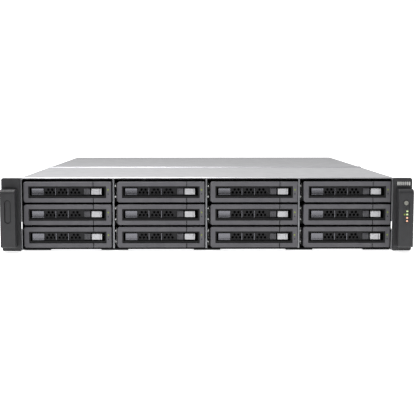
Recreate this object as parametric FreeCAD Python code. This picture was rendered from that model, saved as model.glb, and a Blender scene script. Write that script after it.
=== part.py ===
"""Two-unit rack storage server with twelve hot-swap drive trays, written for FreeCAD, in millimetres.

The frame: +X to the right seen from the front, +Y towards the back, +Z up. The origin is in the middle of the
overall depth and width, at the lowest point of the pressed feet. Every sub-part is written to parts/NODE.step.
A sheet-metal base carries a drive cage of four columns and three rows. Each tray holds a 3.5 inch drive and has a
swinging lever and a sliding release button. Behind the cage stand a backplane, a wall of three fans, the
motherboard and two redundant power modules that pull out at the back. Ears at the front hold it in a 19 inch rack.
"""
import FreeCAD
import Part

import math
import os

V = FreeCAD.Vector
OUT = "parts"

# ---- Overall ---------------------------------------------------------------------------------------------------
chassis_width = 440.0
ear_overhang = 21.3           # each ear beyond the case's side, which makes the 482.6 mm of the 19 inch standard
chassis_height = 86.2
chassis_depth = 530.0         # front edge of the sheet metal to the back panel
sheet = 1.2                   # base and covers
foot_height = 1.2             # pressed feet below the base
panel_sheet = 1.2             # back panel
slip = 0.15                   # clearance of a sliding piece
gap = 0.3                     # clearance of a loose piece

# ---- Ears and their covers -------------------------------------------------------------------------------------
ear_trim = 0.2                # the ear's height under that of the case
ear_lift = 1.2                # above the feet's underside
ear_sheet = 2.0
ear_flange_length = 45.0      # behind the sheet metal's front
ear_proud = 8.0               # the mounting plate's front ahead of the sheet metal
rack_hole_inset = 8.75        # from the ear's edge, which makes the standard's 465.1 mm between the two ears
rack_hole_pitch = 76.2        # rack standard for two units
rack_slot_width = 6.8
rack_slot_length = 10.3
ear_notch_bottom = 25.1
ear_notch_height = 10.0
ear_notch_depth = 16.0
ear_notch_in_plate = 4.0
cover_wall = 2.0
cover_base_depth = 8.0
handle_depth = 14.0
handle_inset = 0.6            # from the cover's outer edge
handle_width = 17.6
handle_drop = 12.2            # from the ear's top
handle_rise = 5.6             # from the ear's bottom
handle_top_round = 5.0
handle_low_round = 2.0
handle_side_round = 0.9
base_round = 2.2
inset_width = 7.6
inset_height = 27.6
inset_depth = 1.2
inset_from_edge = 9.5
inset_z = 49.0
power_button_r = 2.5
power_button_z = 59.0
power_button_length = 6.0
reset_hole_r = 0.6
reset_hole_z = 53.4
lamp_size = (2.0, 1.7)
lamp_places = ((1.4, 49.2), (1.4, 45.5), (-1.7, 45.5), (1.4, 41.5), (1.4, 37.8))

# ---- Drive bays and trays --------------------------------------------------------------------------------------
columns = 4
rows = 3
divider = 2.0
divider_shift = -0.9         # every divider sits this far off the middle between two tray faces
cage_top_sheet = 1.0
cage_bottom_row = 4.2         # height of the lowest tray face above the feet's underside
cage_headroom = 4.9           # from the highest tray face to the cover's top
row_gap = 2.5                 # between tray faces, one above another
column_gap = 7.2              # between tray faces, side by side
ledge_height = 1.2
ledge_drop = 0.35             # underside of a ledge below the tray face's underside
ledge_clearance = 0.45        # from the ledge's edge to the drive
hem_height = 1.9              # folded front edge of the front cover

tray_proud = 8.0              # tray face in front of the sheet metal
tray_shift = 0.45             # the face sits this far right of its column's middle
bezel_depth = 10.0
window_side = 5.7
window_top = 5.3
window_bottom = 5.2
liner_setback = 1.0           # black inner frame behind the face's front
liner_left = 1.5
liner_right = 2.0
liner_gap = 0.25              # above and below the lever
seam_from_right = 21.1
seam = 0.9
corner_cut = 1.8              # chamfered left corners of the face
right_corner_cut = 0.6
edge_cut = 0.5                # chamfered front edge of the face
rail_sheet = 1.2
rail_height = 20.0
rail_foot_gap = 0.4           # from the rail's foot to the bay's wall
front_web = 1.2
drive_width = 101.6
drive_height = 25.4
drive_length = 147.0
drive_setback = 32.0          # from the tray's face
drive_drop = 0.5              # the drive's underside below the face's
rail_overhang = 2.0           # the rails past the drive's back
drive_screw_r = 1.5
drive_screw_head_r = 2.6
drive_screw_places = (28.5, 101.6)
spring_fingers = 2
finger_pitch = 13.3
finger_height = 2.8
finger_rise = 1.2             # the fingers' middle above the face's middle
spring_strip_height = 21.0
lamp_pipe_r = 0.95
lamp_pipe_from_right = 3.4
lamp_pipe_drops = (9.5, 14.4)

# ---- Lever and release button ----------------------------------------------------------------------------------
lever_end_gap = 3.6           # from the window's left side
release_end_gap = 5.7         # from the button to the window's right side
lever_setback = 2.2           # its front behind the face
lever_web = 1.6               # thickness of the perforated web
lever_height = 9.4
lever_rise = 0.5              # the lever's middle above the window's
plate_length = 14.2
plate_height = 8.4
plate_thick = 4.2
grip_length = 7.3
grip_height = 7.2
grip_ribs = 4
rib_width = 1.0
hole_pitch = 4.5
hole_row_pitch = 3.4
hole_across = 2.9
hole_start = 3.0              # from the end plate, or the module's start, to the first hole
hole_rise = 0.4               # middle of the two rows of holes above the lever's
lever_pin_r = 1.5
lever_pin_setback = 5.4
lever_pin_from_left = 2.8
lever_pin_length = 1.3
release_gap = 1.6             # between the lever's end and the release button
release_length = 12.0
release_height = 7.2
release_thick = 5.0

# ---- Backplane, fans -------------------------------------------------------------------------------------------
board_thick = 1.6
backplane_thick = 2.4
backplane_gap = 8.0           # from the drives' backs to the backplane
connector_width = 42.0
connector_height = 6.0
fans = 3
fan_size = 80.0
fan_depth = 38.0
fan_rim = 1.8
fan_hub_r = 17.0
fan_blades = 7
fan_gap = 20.0                # from the backplane to the fans
fan_lift = 1.0
partition = 1.0

# ---- Back of the case ------------------------------------------------------------------------------------------
cover_split = 215.0           # the front cover's length
lip_height = 1.0
lip_reach = 7.0
lip_back = 10.0
flange_width = 10.0
psu_width = 73.5
psu_height = 39.0
psu_length = 190.0
psu_wall = 1.0
psu_bay_margin = 2.3          # from the case's right side to the power bay
psu_bay_sheet = 0.8
psu_handle_reach = 32.0
psu_handle_bar = 4.0
psu_fan_rim = 1.55            # the fan frame's thinnest wall round its bore
psu_tip_gap = 1.2             # from the blades to the bore
psu_hub_r = 8.0
psu_handle_room = 2.2         # from the pressed latch to the handle's left leg
psu_handle_side = 2.5         # from the handle to the module's right side
psu_handle_height = 12.0
psu_latch_width = 3.0
psu_latch_reach = 17.0
psu_latch_height = 13.0
psu_latch_travel = 2.2
psu_latch_room = 0.35         # from the pressed latch to the fan's frame
psu_latch_web = 1.2           # panel between the inlet and the latch's slot
inlet_left = 2.2
inlet_width = 26.4
inlet_height = 20.0
inlet_depth = 19.0
inlet_rim = 1.2
io_margin = 5.8               # from the case's left side
io_width = 158.75
io_bottom = 9.0
io_height = 44.45
slot_count = 4
slot_pitch = 20.32
slot_margin = 17.25           # from the port opening to the middle of the first slot
slot_width = 12.6
slot_bottom = 4.6
slot_height = 74.0
vent_hex = 5.2
vent_pitch = 6.8
board_width = 305.0
board_length = 244.0
standoff_height = 6.0
standoff_r = 3.0
rail_hole_r = 2.1
rail_hole_z = 43.0
rail_hole_places = ((70.0, 130.0), (400.0, 460.0))

# ---- Planes worked out from the values above -------------------------------------------------------------------
rack_width = chassis_width + 2 * ear_overhang
rack_hole_span = rack_width - 2 * rack_hole_inset
ear_height = chassis_height - ear_trim
ear_reach = -ear_proud - cover_base_depth - handle_depth
overall_depth = chassis_depth + psu_handle_reach - ear_reach
y_front = -overall_depth / 2 - ear_reach
y_back = y_front + chassis_depth
y_face = y_front - tray_proud
y_ear_front = y_front - ear_proud
y_cover_face = y_ear_front - cover_base_depth
y_handle = y_cover_face - handle_depth
z_floor = foot_height + sheet
z_top = foot_height + chassis_height
z_under_cover = z_top - sheet
x_out = chassis_width / 2
x_in = x_out - sheet
x_ear = x_out + ear_sheet
x_edge = rack_width / 2
z_ear = ear_lift
z_ear_top = ear_lift + ear_height
y_split = y_front + cover_split
y_drive = y_face + drive_setback
y_drive_back = y_drive + drive_length
y_backplane = y_drive_back + backplane_gap
y_fans = y_backplane + backplane_thick + fan_gap
y_panel = y_back - panel_sheet
z_cage_top = z_under_cover - cage_top_sheet
bay_pitch_x = (chassis_width + divider) / columns
tray_width = bay_pitch_x - column_gap
tray_height = (z_top - cage_headroom - cage_bottom_row - (rows - 1) * row_gap) / rows
bay_pitch_z = tray_height + row_gap
cage_depth = drive_setback - tray_proud + drive_length + 1.0
lever_left = window_side + lever_end_gap
release_left = tray_width - window_side - release_end_gap - release_length
lever_length = release_left - release_gap - lever_left
module_pitch = (lever_length - plate_length - grip_length - 3.2) / 3
fan_bore = fan_size / 2 - fan_rim
inset_x = x_edge - inset_from_edge
z_board = z_floor + standoff_height
x_board = -x_in + 4.0
y_board = y_panel - 3.0 - board_length
psu_bay_left = x_in - psu_bay_margin - psu_width - 2 * (psu_bay_sheet + gap)
x_psu = psu_bay_left + psu_bay_sheet + gap
psu_latch_left = inlet_left + inlet_width + psu_latch_web + gap
psu_latch_pressed = psu_latch_left + psu_latch_width + psu_latch_travel    # its right side when pressed
psu_fan_room = psu_width - psu_wall - slip - psu_latch_pressed - psu_latch_room
psu_fan_frame = min(psu_fan_room, psu_height - 2 * (psu_wall + slip))
psu_fan_r = psu_fan_frame / 2 - psu_fan_rim
psu_rotor_r = psu_fan_r - psu_tip_gap
psu_fan_from_left = psu_width - psu_wall - slip - psu_fan_frame / 2
psu_handle_left = psu_latch_pressed + psu_handle_room
psu_handle_width = psu_width - psu_handle_side - psu_handle_left
io_left = -x_in + io_margin
slot_first = io_left + io_width + slot_margin
z_psu_first = z_floor + psu_bay_sheet + gap
psu_pitch = psu_height + psu_bay_sheet + 2 * gap


# ---- Small helpers ---------------------------------------------------------------------------------------------
def block(x0, x1, y0, y1, z0, z1):
    """A box between two corners, in any order along each axis."""
    low = V(min(x0, x1), min(y0, y1), min(z0, z1))
    return Part.makeBox(abs(x1 - x0), abs(y1 - y0), abs(z1 - z0), low)


def rod(r, length, base, direction):
    return Part.makeCylinder(r, length, base, direction)


def ring_wire(points):
    return Part.makePolygon(points + [points[0]])


def rect(a0, a1, b0, b1, place):
    """A closed rectangle, its corners set in space by place(a, b)."""
    return ring_wire([place(a0, b0), place(a1, b0), place(a1, b1), place(a0, b1)])


def hexagon(a, b, across, place):
    """A closed hexagon with flat sides at left and right, its corners set in space by place(a, b)."""
    r = across / math.sqrt(3.0)
    turns = [math.radians(30 + 60 * k) for k in range(6)]
    return ring_wire([place(a + r * math.cos(t), b + r * math.sin(t)) for t in turns])


def circle(r, centre, normal):
    return Part.Wire(Part.Circle(centre, normal, r).toShape())


def stadium(centre, length, width, along, across):
    """A closed slot outline with round ends, centred, running along one direction."""
    r = width / 2
    straight = (length - width) / 2
    a = centre + along * straight + across * r
    b = centre - along * straight + across * r
    c = centre - along * straight - across * r
    d = centre + along * straight - across * r
    left = Part.Arc(b, centre - along * (straight + r), c)
    right = Part.Arc(d, centre + along * (straight + r), a)
    edges = [Part.makeLine(a, b), left.toShape(), Part.makeLine(c, d), right.toShape()]
    return Part.Wire(edges)


def panel(outline, holes, thickness):
    """A flat sheet: an outline with holes in it, given its thickness as a vector."""
    if not holes:
        return Part.Face(outline).extrude(thickness)
    face = Part.makeFace([outline] + holes, "Part::FaceMakerBullseye")
    return face.extrude(thickness)


def fuse(shapes):
    joined = shapes[0].multiFuse(shapes[1:]) if len(shapes) > 1 else shapes[0]
    return joined.removeSplitter()


def solids_of(shape):
    return list(shape.Solids)


def write(name, solids):
    """Writes one node. A node of several pieces is a group of separate solids."""
    pieces = [s for item in solids for s in item.Solids]
    for piece in pieces:
        if not piece.isValid() or piece.Volume <= 0:
            raise ValueError(f"{name} has a bad solid")
    shape = pieces[0] if len(pieces) == 1 else Part.makeCompound(pieces)
    shape.exportStep(os.path.join(OUT, name + ".step"))
    print(f"{name}: {len(pieces)} solids, {sum(p.Volume for p in pieces) / 1000:.1f} cm3")


def on_side(a, b):
    """Places (a, b) as (y, z) on the plane x = 0."""
    return V(0, a, b)


def on_front(a, b):
    """Places (a, b) as (x, z) on the plane y = 0."""
    return V(a, 0, b)


def on_floor(a, b):
    """Places (a, b) as (x, y) on the plane z = 0."""
    return V(a, b, 0)


# ---- Fasteners: one list, so that the sheets take their holes from it ------------------------------------------
screw_r = 1.5
screw_head_r = 3.0
screw_head_h = 0.7
screw_length = 5.0
screw_slack = 0.1
board_screws = [(x_board + 10.0 + i * (board_width - 20.0) / 2, y_board + 10.0 + j * (board_length - 35.0) / 2)
                for i in range(3) for j in range(3)]
rear_cover_screws = [(side * (x_in - flange_width / 2), y_split + 40.0 + k * 120.0)
                     for side in (-1, 1) for k in range(3)]
ear_screws = [(y_front + 12.0 + k * 18.0, 60.0 if k % 2 else 72.0) for k in range(2)]
ear_screws.append((y_front + 30.0, 14.0))


def screw(head_face, into, length=screw_length):
    """A pan-head screw whose head's outer face is centred on a point, pointing along a direction."""
    head = rod(screw_head_r, screw_head_h, head_face, into)
    shank = rod(screw_r, length, head_face + into * screw_head_h, into)
    return fuse([head, shank])


def make_screws():
    down = V(0, 0, -1)
    pieces = [screw(V(x, y, z_top - 0.1), down, 2.2) for x, y in rear_cover_screws]
    pieces += [screw(V(x, y, z_board + board_thick + screw_head_h), down) for x, y in board_screws]
    for side in (-1, 1):
        for y, z in ear_screws:
            pieces.append(screw(V(side * (x_ear + screw_head_h), y, z), V(-side, 0, 0), 3.0))
    write("screws", pieces)


# ---- Case ------------------------------------------------------------------------------------------------------
def make_chassis_base():
    """Folded base: floor with pressed feet, two side walls with rail holes and vents, and top flanges.

    The side walls run on past the floor to the ears' front plane, notched where the ears are."""
    floor = panel(rect(-x_out, x_out, y_front, y_back, on_floor), [], V(0, 0, sheet))
    floor.translate(V(0, 0, foot_height))
    pieces = [floor]
    for k in range(columns + 1):
        x = min(max((k - columns / 2) * bay_pitch_x, -x_out + 17.0), x_out - 17.0)
        for y in (y_front + 1.0, y_back - 25.0):
            pieces.append(block(x - 16.0, x + 16.0, y, y + 12.0, 0, foot_height))
    for side in (-1, 1):
        holes = []
        for group in rail_hole_places:
            for place in group:
                holes.append(circle(rail_hole_r, V(0, y_front + place, rail_hole_z), V(1, 0, 0)))
        for y, z in ear_screws:
            holes.append(circle(screw_r + screw_slack, V(0, y, z), V(1, 0, 0)))
        for k in range(9):
            y = y_split + 75.0 + k * 9.0
            holes.append(rect(y, y + 3.5, 24.0, 62.0, on_side))
        outline = ring_wire([
            on_side(y_ear_front, foot_height),
            on_side(y_back, foot_height),
            on_side(y_back, z_under_cover),
            on_side(y_front + sheet, z_under_cover),
            on_side(y_front + sheet, z_top - hem_height),
            on_side(y_ear_front, z_top - hem_height),
            on_side(y_ear_front, ear_notch_bottom + ear_notch_height),
            on_side(y_front, ear_notch_bottom + ear_notch_height),
            on_side(y_front, ear_notch_bottom),
            on_side(y_ear_front, ear_notch_bottom),
        ])
        wall = panel(outline, holes, V(sheet, 0, 0))
        wall.translate(V(x_in if side > 0 else -x_out, 0, 0))
        pieces.append(wall)
        pieces += ledges(0 if side < 0 else columns - 1, side)
        taps = [circle(screw_r + screw_slack, V(x, y, 0), V(0, 0, 1)) for x, y in rear_cover_screws if x * side > 0]
        flange = panel(rect(side * (x_in - flange_width), side * x_in, y_split + 12.0, y_panel, on_floor), taps,
                       V(0, 0, sheet))
        flange.translate(V(0, 0, z_under_cover - sheet))
        pieces.append(flange)
    for x, y in board_screws:
        post = rod(standoff_r, standoff_height, V(x, y, z_floor), V(0, 0, 1))
        pieces.append(post.cut(rod(screw_r + screw_slack, standoff_height + 1, V(x, y, z_floor + 0.5), V(0, 0, 1))))
    write("chassis_base", [fuse(pieces)])


def make_covers():
    """The fixed front cover with its folded edge, and the removable rear cover with a raised lip over the joint."""
    up = V(0, 0, sheet)
    top = panel(rect(-x_out, x_out, y_front, y_split, on_floor), [], up)
    top.translate(V(0, 0, z_under_cover))
    hem = block(-x_out, x_out, y_front, y_front + sheet, z_top - hem_height, z_under_cover)
    write("front_top_cover", [fuse([top, hem])])

    holes = [circle(screw_r + screw_slack, V(x, y, 0), V(0, 0, 1)) for x, y in rear_cover_screws]
    top = panel(rect(-x_out, x_out, y_split + gap, y_back, on_floor), holes, up)
    top.translate(V(0, 0, z_under_cover))
    seats = [rod(screw_head_r + screw_slack, 2.0, V(x, y, z_top - 0.1 - screw_head_h), V(0, 0, 1))
             for x, y in rear_cover_screws]
    top = top.cut(Part.makeCompound(seats))
    lip = block(-x_out, x_out, y_split - lip_reach, y_split + lip_back, z_top, z_top + lip_height)
    tail = block(-x_in + flange_width + gap, x_in - flange_width - gap, y_panel - sheet, y_panel,
                 z_under_cover - 1.0, z_under_cover)
    write("rear_top_cover", [fuse([top, lip, tail])])


def hex_field(x0, x1, z0, z1):
    """A staggered field of hexagonal vent holes inside a rectangle."""
    found = []
    row_pitch = vent_pitch * math.sqrt(3.0) / 2
    count = int((z1 - z0 - vent_hex) / row_pitch) + 1
    for j in range(count):
        start = x0 + vent_hex / 2 + (vent_pitch / 2 if j % 2 else 0)
        for i in range(int((x1 - start - vent_hex / 2) / vent_pitch) + 1):
            found.append(hexagon(start + i * vent_pitch, z0 + vent_hex / 2 + 0.5 + j * row_pitch, vent_hex, on_front))
    return found


def slot_x(k):
    """Middle of an expansion slot."""
    return slot_first + k * slot_pitch


def make_rear_panel():
    """Back panel with openings for the ports, the expansion slots and the power modules, and vent fields."""
    tail_top = z_under_cover - 1.0
    psu_right = psu_bay_left + psu_width + 2 * (psu_bay_sheet + gap)
    holes = [rect(psu_bay_left, psu_right, z_floor + 0.4, z_floor + 0.4 + 2 * psu_pitch + psu_bay_sheet, on_front)]
    holes.append(rect(io_left, io_left + io_width, io_bottom, io_bottom + io_height, on_front))
    for k in range(slot_count):
        holes.append(rect(slot_x(k) - slot_width / 2, slot_x(k) + slot_width / 2,
                          slot_bottom, slot_bottom + slot_height, on_front))
    holes += hex_field(io_left + 2.0, io_left + io_width - 2.0, io_bottom + io_height + 4.0, tail_top - 3.0)
    holes += hex_field(slot_x(slot_count - 1) + slot_width, psu_bay_left - 8.0, 8.0, tail_top - 3.0)
    back = panel(rect(-x_in, x_in, z_floor, tail_top, on_front), holes, V(0, panel_sheet, 0))
    back.translate(V(0, y_panel, 0))
    write("rear_panel", [back])


# ---- Drive cage and backplane ----------------------------------------------------------------------------------
def column_middle(column):
    return (column - (columns - 1) / 2) * bay_pitch_x


def divider_x(k):
    """Middle of the divider on the left of a column, counted from 0."""
    return (k - columns / 2) * bay_pitch_x + divider_shift


def bay_walls(column):
    """Left and right faces of the walls beside a column: dividers, or the case's own sides."""
    left = divider_x(column) + divider / 2
    right = divider_x(column + 1) - divider / 2
    return max(left, -x_in), min(right, x_in)


def bay_centre(column):
    """Middle between a bay's walls, where the drive and its rails sit."""
    return sum(bay_walls(column)) / 2


def face_bottom(row):
    """Underside of a tray's face. Row 0 is the top row."""
    return cage_bottom_row + (rows - 1 - row) * bay_pitch_z


def ledges(column, side):
    """Three ledges for the tray rails, from one wall of a column to just beside its drives."""
    wall = bay_walls(column)[0 if side < 0 else 1]
    inner = bay_centre(column) + side * (drive_width / 2 + ledge_clearance)
    found = []
    for row in range(rows):
        z = face_bottom(row) - ledge_drop
        found.append(block(wall, inner, y_front + 4.0, y_front + cage_depth - 2.0, z, z + ledge_height))
    return found


def make_drive_cage():
    """Dividers with ledges for the tray rails, hung from a top plate."""
    y_end = y_front + cage_depth
    top = panel(rect(-x_in, x_in, y_front + sheet + 0.1, y_end, on_floor), [], V(0, 0, cage_top_sheet))
    top.translate(V(0, 0, z_cage_top))
    pieces = [top]
    for k in range(1, columns):
        x = divider_x(k)
        pieces.append(block(x - divider / 2, x + divider / 2, y_front + sheet + 0.1, y_end, z_floor, z_cage_top))
        pieces.append(block(x - divider / 2, x + divider / 2, y_front, y_front + sheet + 0.1,
                            z_floor, z_top - hem_height - 0.1))
    for side in (-1, 1):
        pieces.append(block(side * (x_in - 8.0), side * x_in, y_front + sheet + 0.1, y_end, z_cage_top - 0.8,
                            z_cage_top))
    for column in range(columns):
        left, right = bay_walls(column)
        if left > -x_in:
            pieces += ledges(column, -1)
        if right < x_in:
            pieces += ledges(column, 1)
    write("drive_cage", [fuse(pieces)])


def make_backplane():
    """Board across the back of the cage, with air slots, a drive connector for each bay and four board sockets."""
    z0 = z_floor + 1.0
    z1 = z_cage_top - 1.0
    holes = []
    for column in range(columns):
        for row in range(rows):
            x = bay_centre(column)
            z = face_bottom(row)
            holes.append(rect(x - 44.0, x - 2.0, z + 11.0, z + 21.0, on_front))
            holes.append(rect(x + 2.0, x + 44.0, z + 11.0, z + 21.0, on_front))
    board = panel(rect(-x_in + 1.0, x_in - 1.0, z0, z1, on_front), holes, V(0, backplane_thick, 0))
    board.translate(V(0, y_backplane, 0))
    pieces = [board]
    for column in range(columns):
        for row in range(rows):
            x = bay_centre(column)
            z = face_bottom(row) + 2.0
            body = block(x - connector_width / 2, x + connector_width / 2, y_backplane - backplane_gap + slip,
                         y_backplane, z, z + connector_height)
            slot = block(x - connector_width / 2 + 2.0, x + connector_width / 2 - 2.0,
                         y_backplane - backplane_gap, y_backplane - 3.0, z + 1.6, z + connector_height - 1.6)
            pieces.append(body.cut(slot))
    for column in range(columns):
        x = bay_centre(column) + 26.0
        pieces.append(block(x, x + 18.0, y_backplane + backplane_thick, y_backplane + backplane_thick + 12.0,
                            face_bottom(1) - 3.0, face_bottom(1) + 5.0))
    write("backplane", pieces)


# ---- Trays -----------------------------------------------------------------------------------------------------
def tray_left(column):
    return column_middle(column) + tray_shift - tray_width / 2


def bezel_pieces(column, row):
    """The face's frame around its window, in two mouldings that meet at a seam."""
    x0 = tray_left(column)
    x1 = x0 + tray_width
    z0 = face_bottom(row)
    z1 = z0 + tray_height
    c = corner_cut
    d = right_corner_cut
    outline = ring_wire([V(x0 + c, 0, z0), V(x1 - d, 0, z0), V(x1, 0, z0 + d), V(x1, 0, z1 - d),
                         V(x1 - d, 0, z1), V(x0 + c, 0, z1), V(x0, 0, z1 - c), V(x0, 0, z0 + c)])
    window = rect(x0 + window_side, x1 - window_side, z0 + window_bottom, z1 - window_top, on_front)
    ring = panel(outline, [window], V(0, bezel_depth, 0))
    front_edges = [e for e in ring.Edges if e.BoundBox.YMax < 1e-6 and (
        e.BoundBox.XMin < x0 + c + 1e-6 or e.BoundBox.XMax > x1 - d - 1e-6
        or e.BoundBox.ZMax > z1 - 1e-6 or e.BoundBox.ZMin < z0 + 1e-6)]
    ring = ring.makeChamfer(edge_cut, front_edges)
    ring.translate(V(0, y_face, 0))
    tools = []
    for drop in lamp_pipe_drops:
        tools.append(rod(lamp_pipe_r + 0.05, bezel_depth + 2,
                         V(x1 - lamp_pipe_from_right, y_face - 1, z1 - drop), V(0, 1, 0)))
    seam_x = x1 - seam_from_right
    tools.append(block(seam_x - seam / 2, seam_x + seam / 2, y_face - 1, y_face + bezel_depth + 1, z0 - 1, z1 + 1))
    return solids_of(ring.cut(Part.makeCompound(tools)))


def window_liner(column, row):
    """Black inner frame set back in the window, close round the lever, with bores for the lever's pins."""
    x0 = tray_left(column) + window_side
    x1 = tray_left(column) + tray_width - window_side
    z0 = face_bottom(row) + window_bottom
    z1 = face_bottom(row) + tray_height - window_top
    z = lever_middle(row)
    reach = lever_height / 2 + liner_gap
    ring = panel(rect(x0, x1, z0, z1, on_front), [rect(x0 + liner_left, x1 - liner_right, z - reach, z + reach, on_front)],
                 V(0, bezel_depth - liner_setback, 0))
    ring.translate(V(0, y_face + liner_setback, 0))
    depth = lever_height / 2 + lever_pin_length + slip
    bore = rod(lever_pin_r + 0.1, 2 * depth, V(tray_left(column) + lever_left + lever_pin_from_left,
                                               y_face + lever_pin_setback, z - depth), V(0, 0, 1))
    return ring.cut(bore)


def lamp_pipes(column, row):
    x = tray_left(column) + tray_width - lamp_pipe_from_right
    top = face_bottom(row) + tray_height
    return [rod(lamp_pipe_r, bezel_depth, V(x, y_face, top - drop), V(0, 1, 0)) for drop in lamp_pipe_drops]


def tray_frame(column, row):
    """Sheet-metal frame behind the face: a front web with an air opening and a rail along each side of the drive."""
    x = bay_centre(column)
    z0 = face_bottom(row) + 1.0
    z1 = z0 + rail_height
    inner = drive_width / 2 + slip
    outer = inner + rail_sheet
    y0 = y_face + bezel_depth
    web = panel(rect(x - outer, x + outer, z0, z1, on_front),
                [rect(x - inner + 6.0, x + inner - 6.0, z0 + 4.0, z1 - 4.0, on_front)], V(0, front_web, 0))
    web.translate(V(0, y0, 0))
    pieces = [web]
    y1 = y_drive_back + rail_overhang
    for side in (-1, 1):
        holes = [circle(drive_screw_head_r + 0.1, V(0, y_drive + place, z0 + 5.4), V(1, 0, 0))
                 for place in drive_screw_places]
        rail = panel(rect(y0, y1, z0, z1, on_side), holes, V(rail_sheet, 0, 0))
        rail.translate(V(x + inner if side > 0 else x - outer, 0, 0))
        wall = bay_walls(column)[0 if side < 0 else 1]
        foot = block(x + side * outer, wall - side * rail_foot_gap, y0 + 8.0, y1, z0, z0 + 1.0)
        pieces += [rail, foot]
    return fuse(pieces)


def drive_pieces(column, row):
    """A 3.5 inch drive: cast body with a recessed lid step and connector notch, and its four side screws."""
    x = bay_centre(column)
    z0 = face_bottom(row) - drive_drop
    z1 = z0 + drive_height
    half = drive_width / 2
    body = block(x - half, x + half, y_drive, y_drive_back, z0, z1)
    tools = [block(x - 18.0, x + 18.0, y_drive_back - 6.0, y_drive_back + 1, z0 - 1, z0 + 5.0),
             block(x - half - 1, x - half + 3.0, y_drive - 1, y_drive_back + 1, z1 - 4.0, z1 + 1),
             block(x + half - 3.0, x + half + 1, y_drive - 1, y_drive_back + 1, z1 - 4.0, z1 + 1)]
    screws = []
    z = face_bottom(row) + 1.0 + 5.4
    for side in (-1, 1):
        for place in drive_screw_places:
            y = y_drive + place
            into = V(-side, 0, 0)
            face = V(x + side * (half + slip + rail_sheet), y, z)
            head = rod(drive_screw_head_r, rail_sheet, face, into)
            shank = rod(drive_screw_r, 4.0, face + into * rail_sheet, into)
            screws.append(fuse([head, shank]))
            tools.append(rod(drive_screw_r + 0.05, 4.5, V(x + side * (half + 0.1), y, z), into))
    return [body.cut(Part.makeCompound(tools))] + screws


def finger_strip(column, row):
    """Earthing spring strip on the rail's left side, with bowed fingers that bear on the divider."""
    x = bay_centre(column) - drive_width / 2 - slip - rail_sheet
    z_mid = face_bottom(row) + tray_height / 2
    y0 = y_face + bezel_depth + 0.4
    strip = block(x - 0.25, x, y0, y0 + 7.0, z_mid - spring_strip_height / 2, z_mid + spring_strip_height / 2)
    pieces = [strip]
    bow = x - bay_walls(column)[0] - gap
    for k in range(spring_fingers):
        z = z_mid + finger_rise + (k - (spring_fingers - 1) / 2) * finger_pitch - finger_height / 2
        outline = ring_wire([V(x - 0.1, y0, z), V(x - bow, y0 + 2.6, z), V(x - bow, y0 + 4.2, z),
                             V(x - 0.1, y0 + 6.8, z)])
        pieces.append(Part.Face(outline).extrude(V(0, 0, finger_height)))
    return fuse(pieces)


def make_tray(column, row):
    pieces = bezel_pieces(column, row) + lamp_pipes(column, row)
    pieces.append(tray_frame(column, row))
    pieces += drive_pieces(column, row)
    pieces.append(finger_strip(column, row))
    pieces.append(window_liner(column, row))
    write(f"tray_{column + 1}_{row + 1}", pieces)


def lever_middle(row):
    """Middle height of the lever and button, a little above the middle of the window."""
    return face_bottom(row) + (window_bottom + tray_height - window_top) / 2 + lever_rise


def make_lever(column, row):
    """Ejector lever: end plate at the pivot, perforated web in three modules between ribs, finger grip, two pins."""
    x0 = tray_left(column) + lever_left
    x1 = x0 + lever_length
    z = lever_middle(row)
    y = y_face + lever_setback
    y_web = y + plate_thick - lever_web
    half = lever_height / 2
    holes = []
    for module in range(3):
        start = x0 + plate_length + hole_start + module * module_pitch
        for upper, count in ((0, 3), (1, 2)):
            rise = hole_rise + (upper - 0.5) * hole_row_pitch
            for i in range(count):
                holes.append(hexagon(start + (i + upper / 2) * hole_pitch, z + rise, hole_across, on_front))
    web = panel(rect(x0 + 1.0, x1, z - half, z + half, on_front), holes, V(0, lever_web, 0))
    web.translate(V(0, y_web, 0))
    plate = block(x0, x0 + plate_length, y, y + plate_thick, z - plate_height / 2, z + plate_height / 2)
    pieces = [web, plate]
    for module in range(2):
        x = x0 + plate_length + (module + 1) * module_pitch - rib_width - 0.4
        pieces.append(block(x, x + rib_width, y + 0.8, y_web + 0.2, z - half, z + half))
    grip_x = x1 - grip_length
    pieces.append(block(grip_x, x1, y + 1.2, y_web + 0.2, z - grip_height / 2, z + grip_height / 2))
    for k in range(grip_ribs):
        x = grip_x + (k + 0.5) * grip_length / grip_ribs
        pieces.append(block(x - 0.45, x + 0.45, y + 0.4, y + 1.4, z - grip_height / 2, z + grip_height / 2))
    pin_x = x0 + lever_pin_from_left
    boss = rod(lever_pin_r + 1.0, lever_height, V(pin_x, y_face + lever_pin_setback, z - half), V(0, 0, 1))
    pin = rod(lever_pin_r, lever_height + 2 * lever_pin_length,
              V(pin_x, y_face + lever_pin_setback, z - half - lever_pin_length), V(0, 0, 1))
    write(f"tray_lever_{column + 1}_{row + 1}", [fuse(pieces + [boss, pin])])


def make_release(column, row):
    """Release button that slides right, with raised grip lines and a catch behind it."""
    x0 = tray_left(column) + lever_left + lever_length + release_gap
    x1 = x0 + release_length
    z = lever_middle(row)
    y = y_face + lever_setback
    body = block(x0, x1, y, y + release_thick, z - release_height / 2, z + release_height / 2)
    groove = block(x1 - 2.2, x1 - 1.6, y - 1, y + 0.5, z - release_height / 2 - 1, z + release_height / 2 + 1)
    catch = block(x0 + 2.0, x1 - 2.0, y + release_thick, y_face + bezel_depth - gap, z - 2.0, z + 2.0)
    write(f"tray_release_{column + 1}_{row + 1}", [fuse([body.cut(groove), catch])])


# ---- Fans ------------------------------------------------------------------------------------------------------
def fan_x(k):
    return (k - (fans - 1) / 2) * (2 * x_in / fans)


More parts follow.
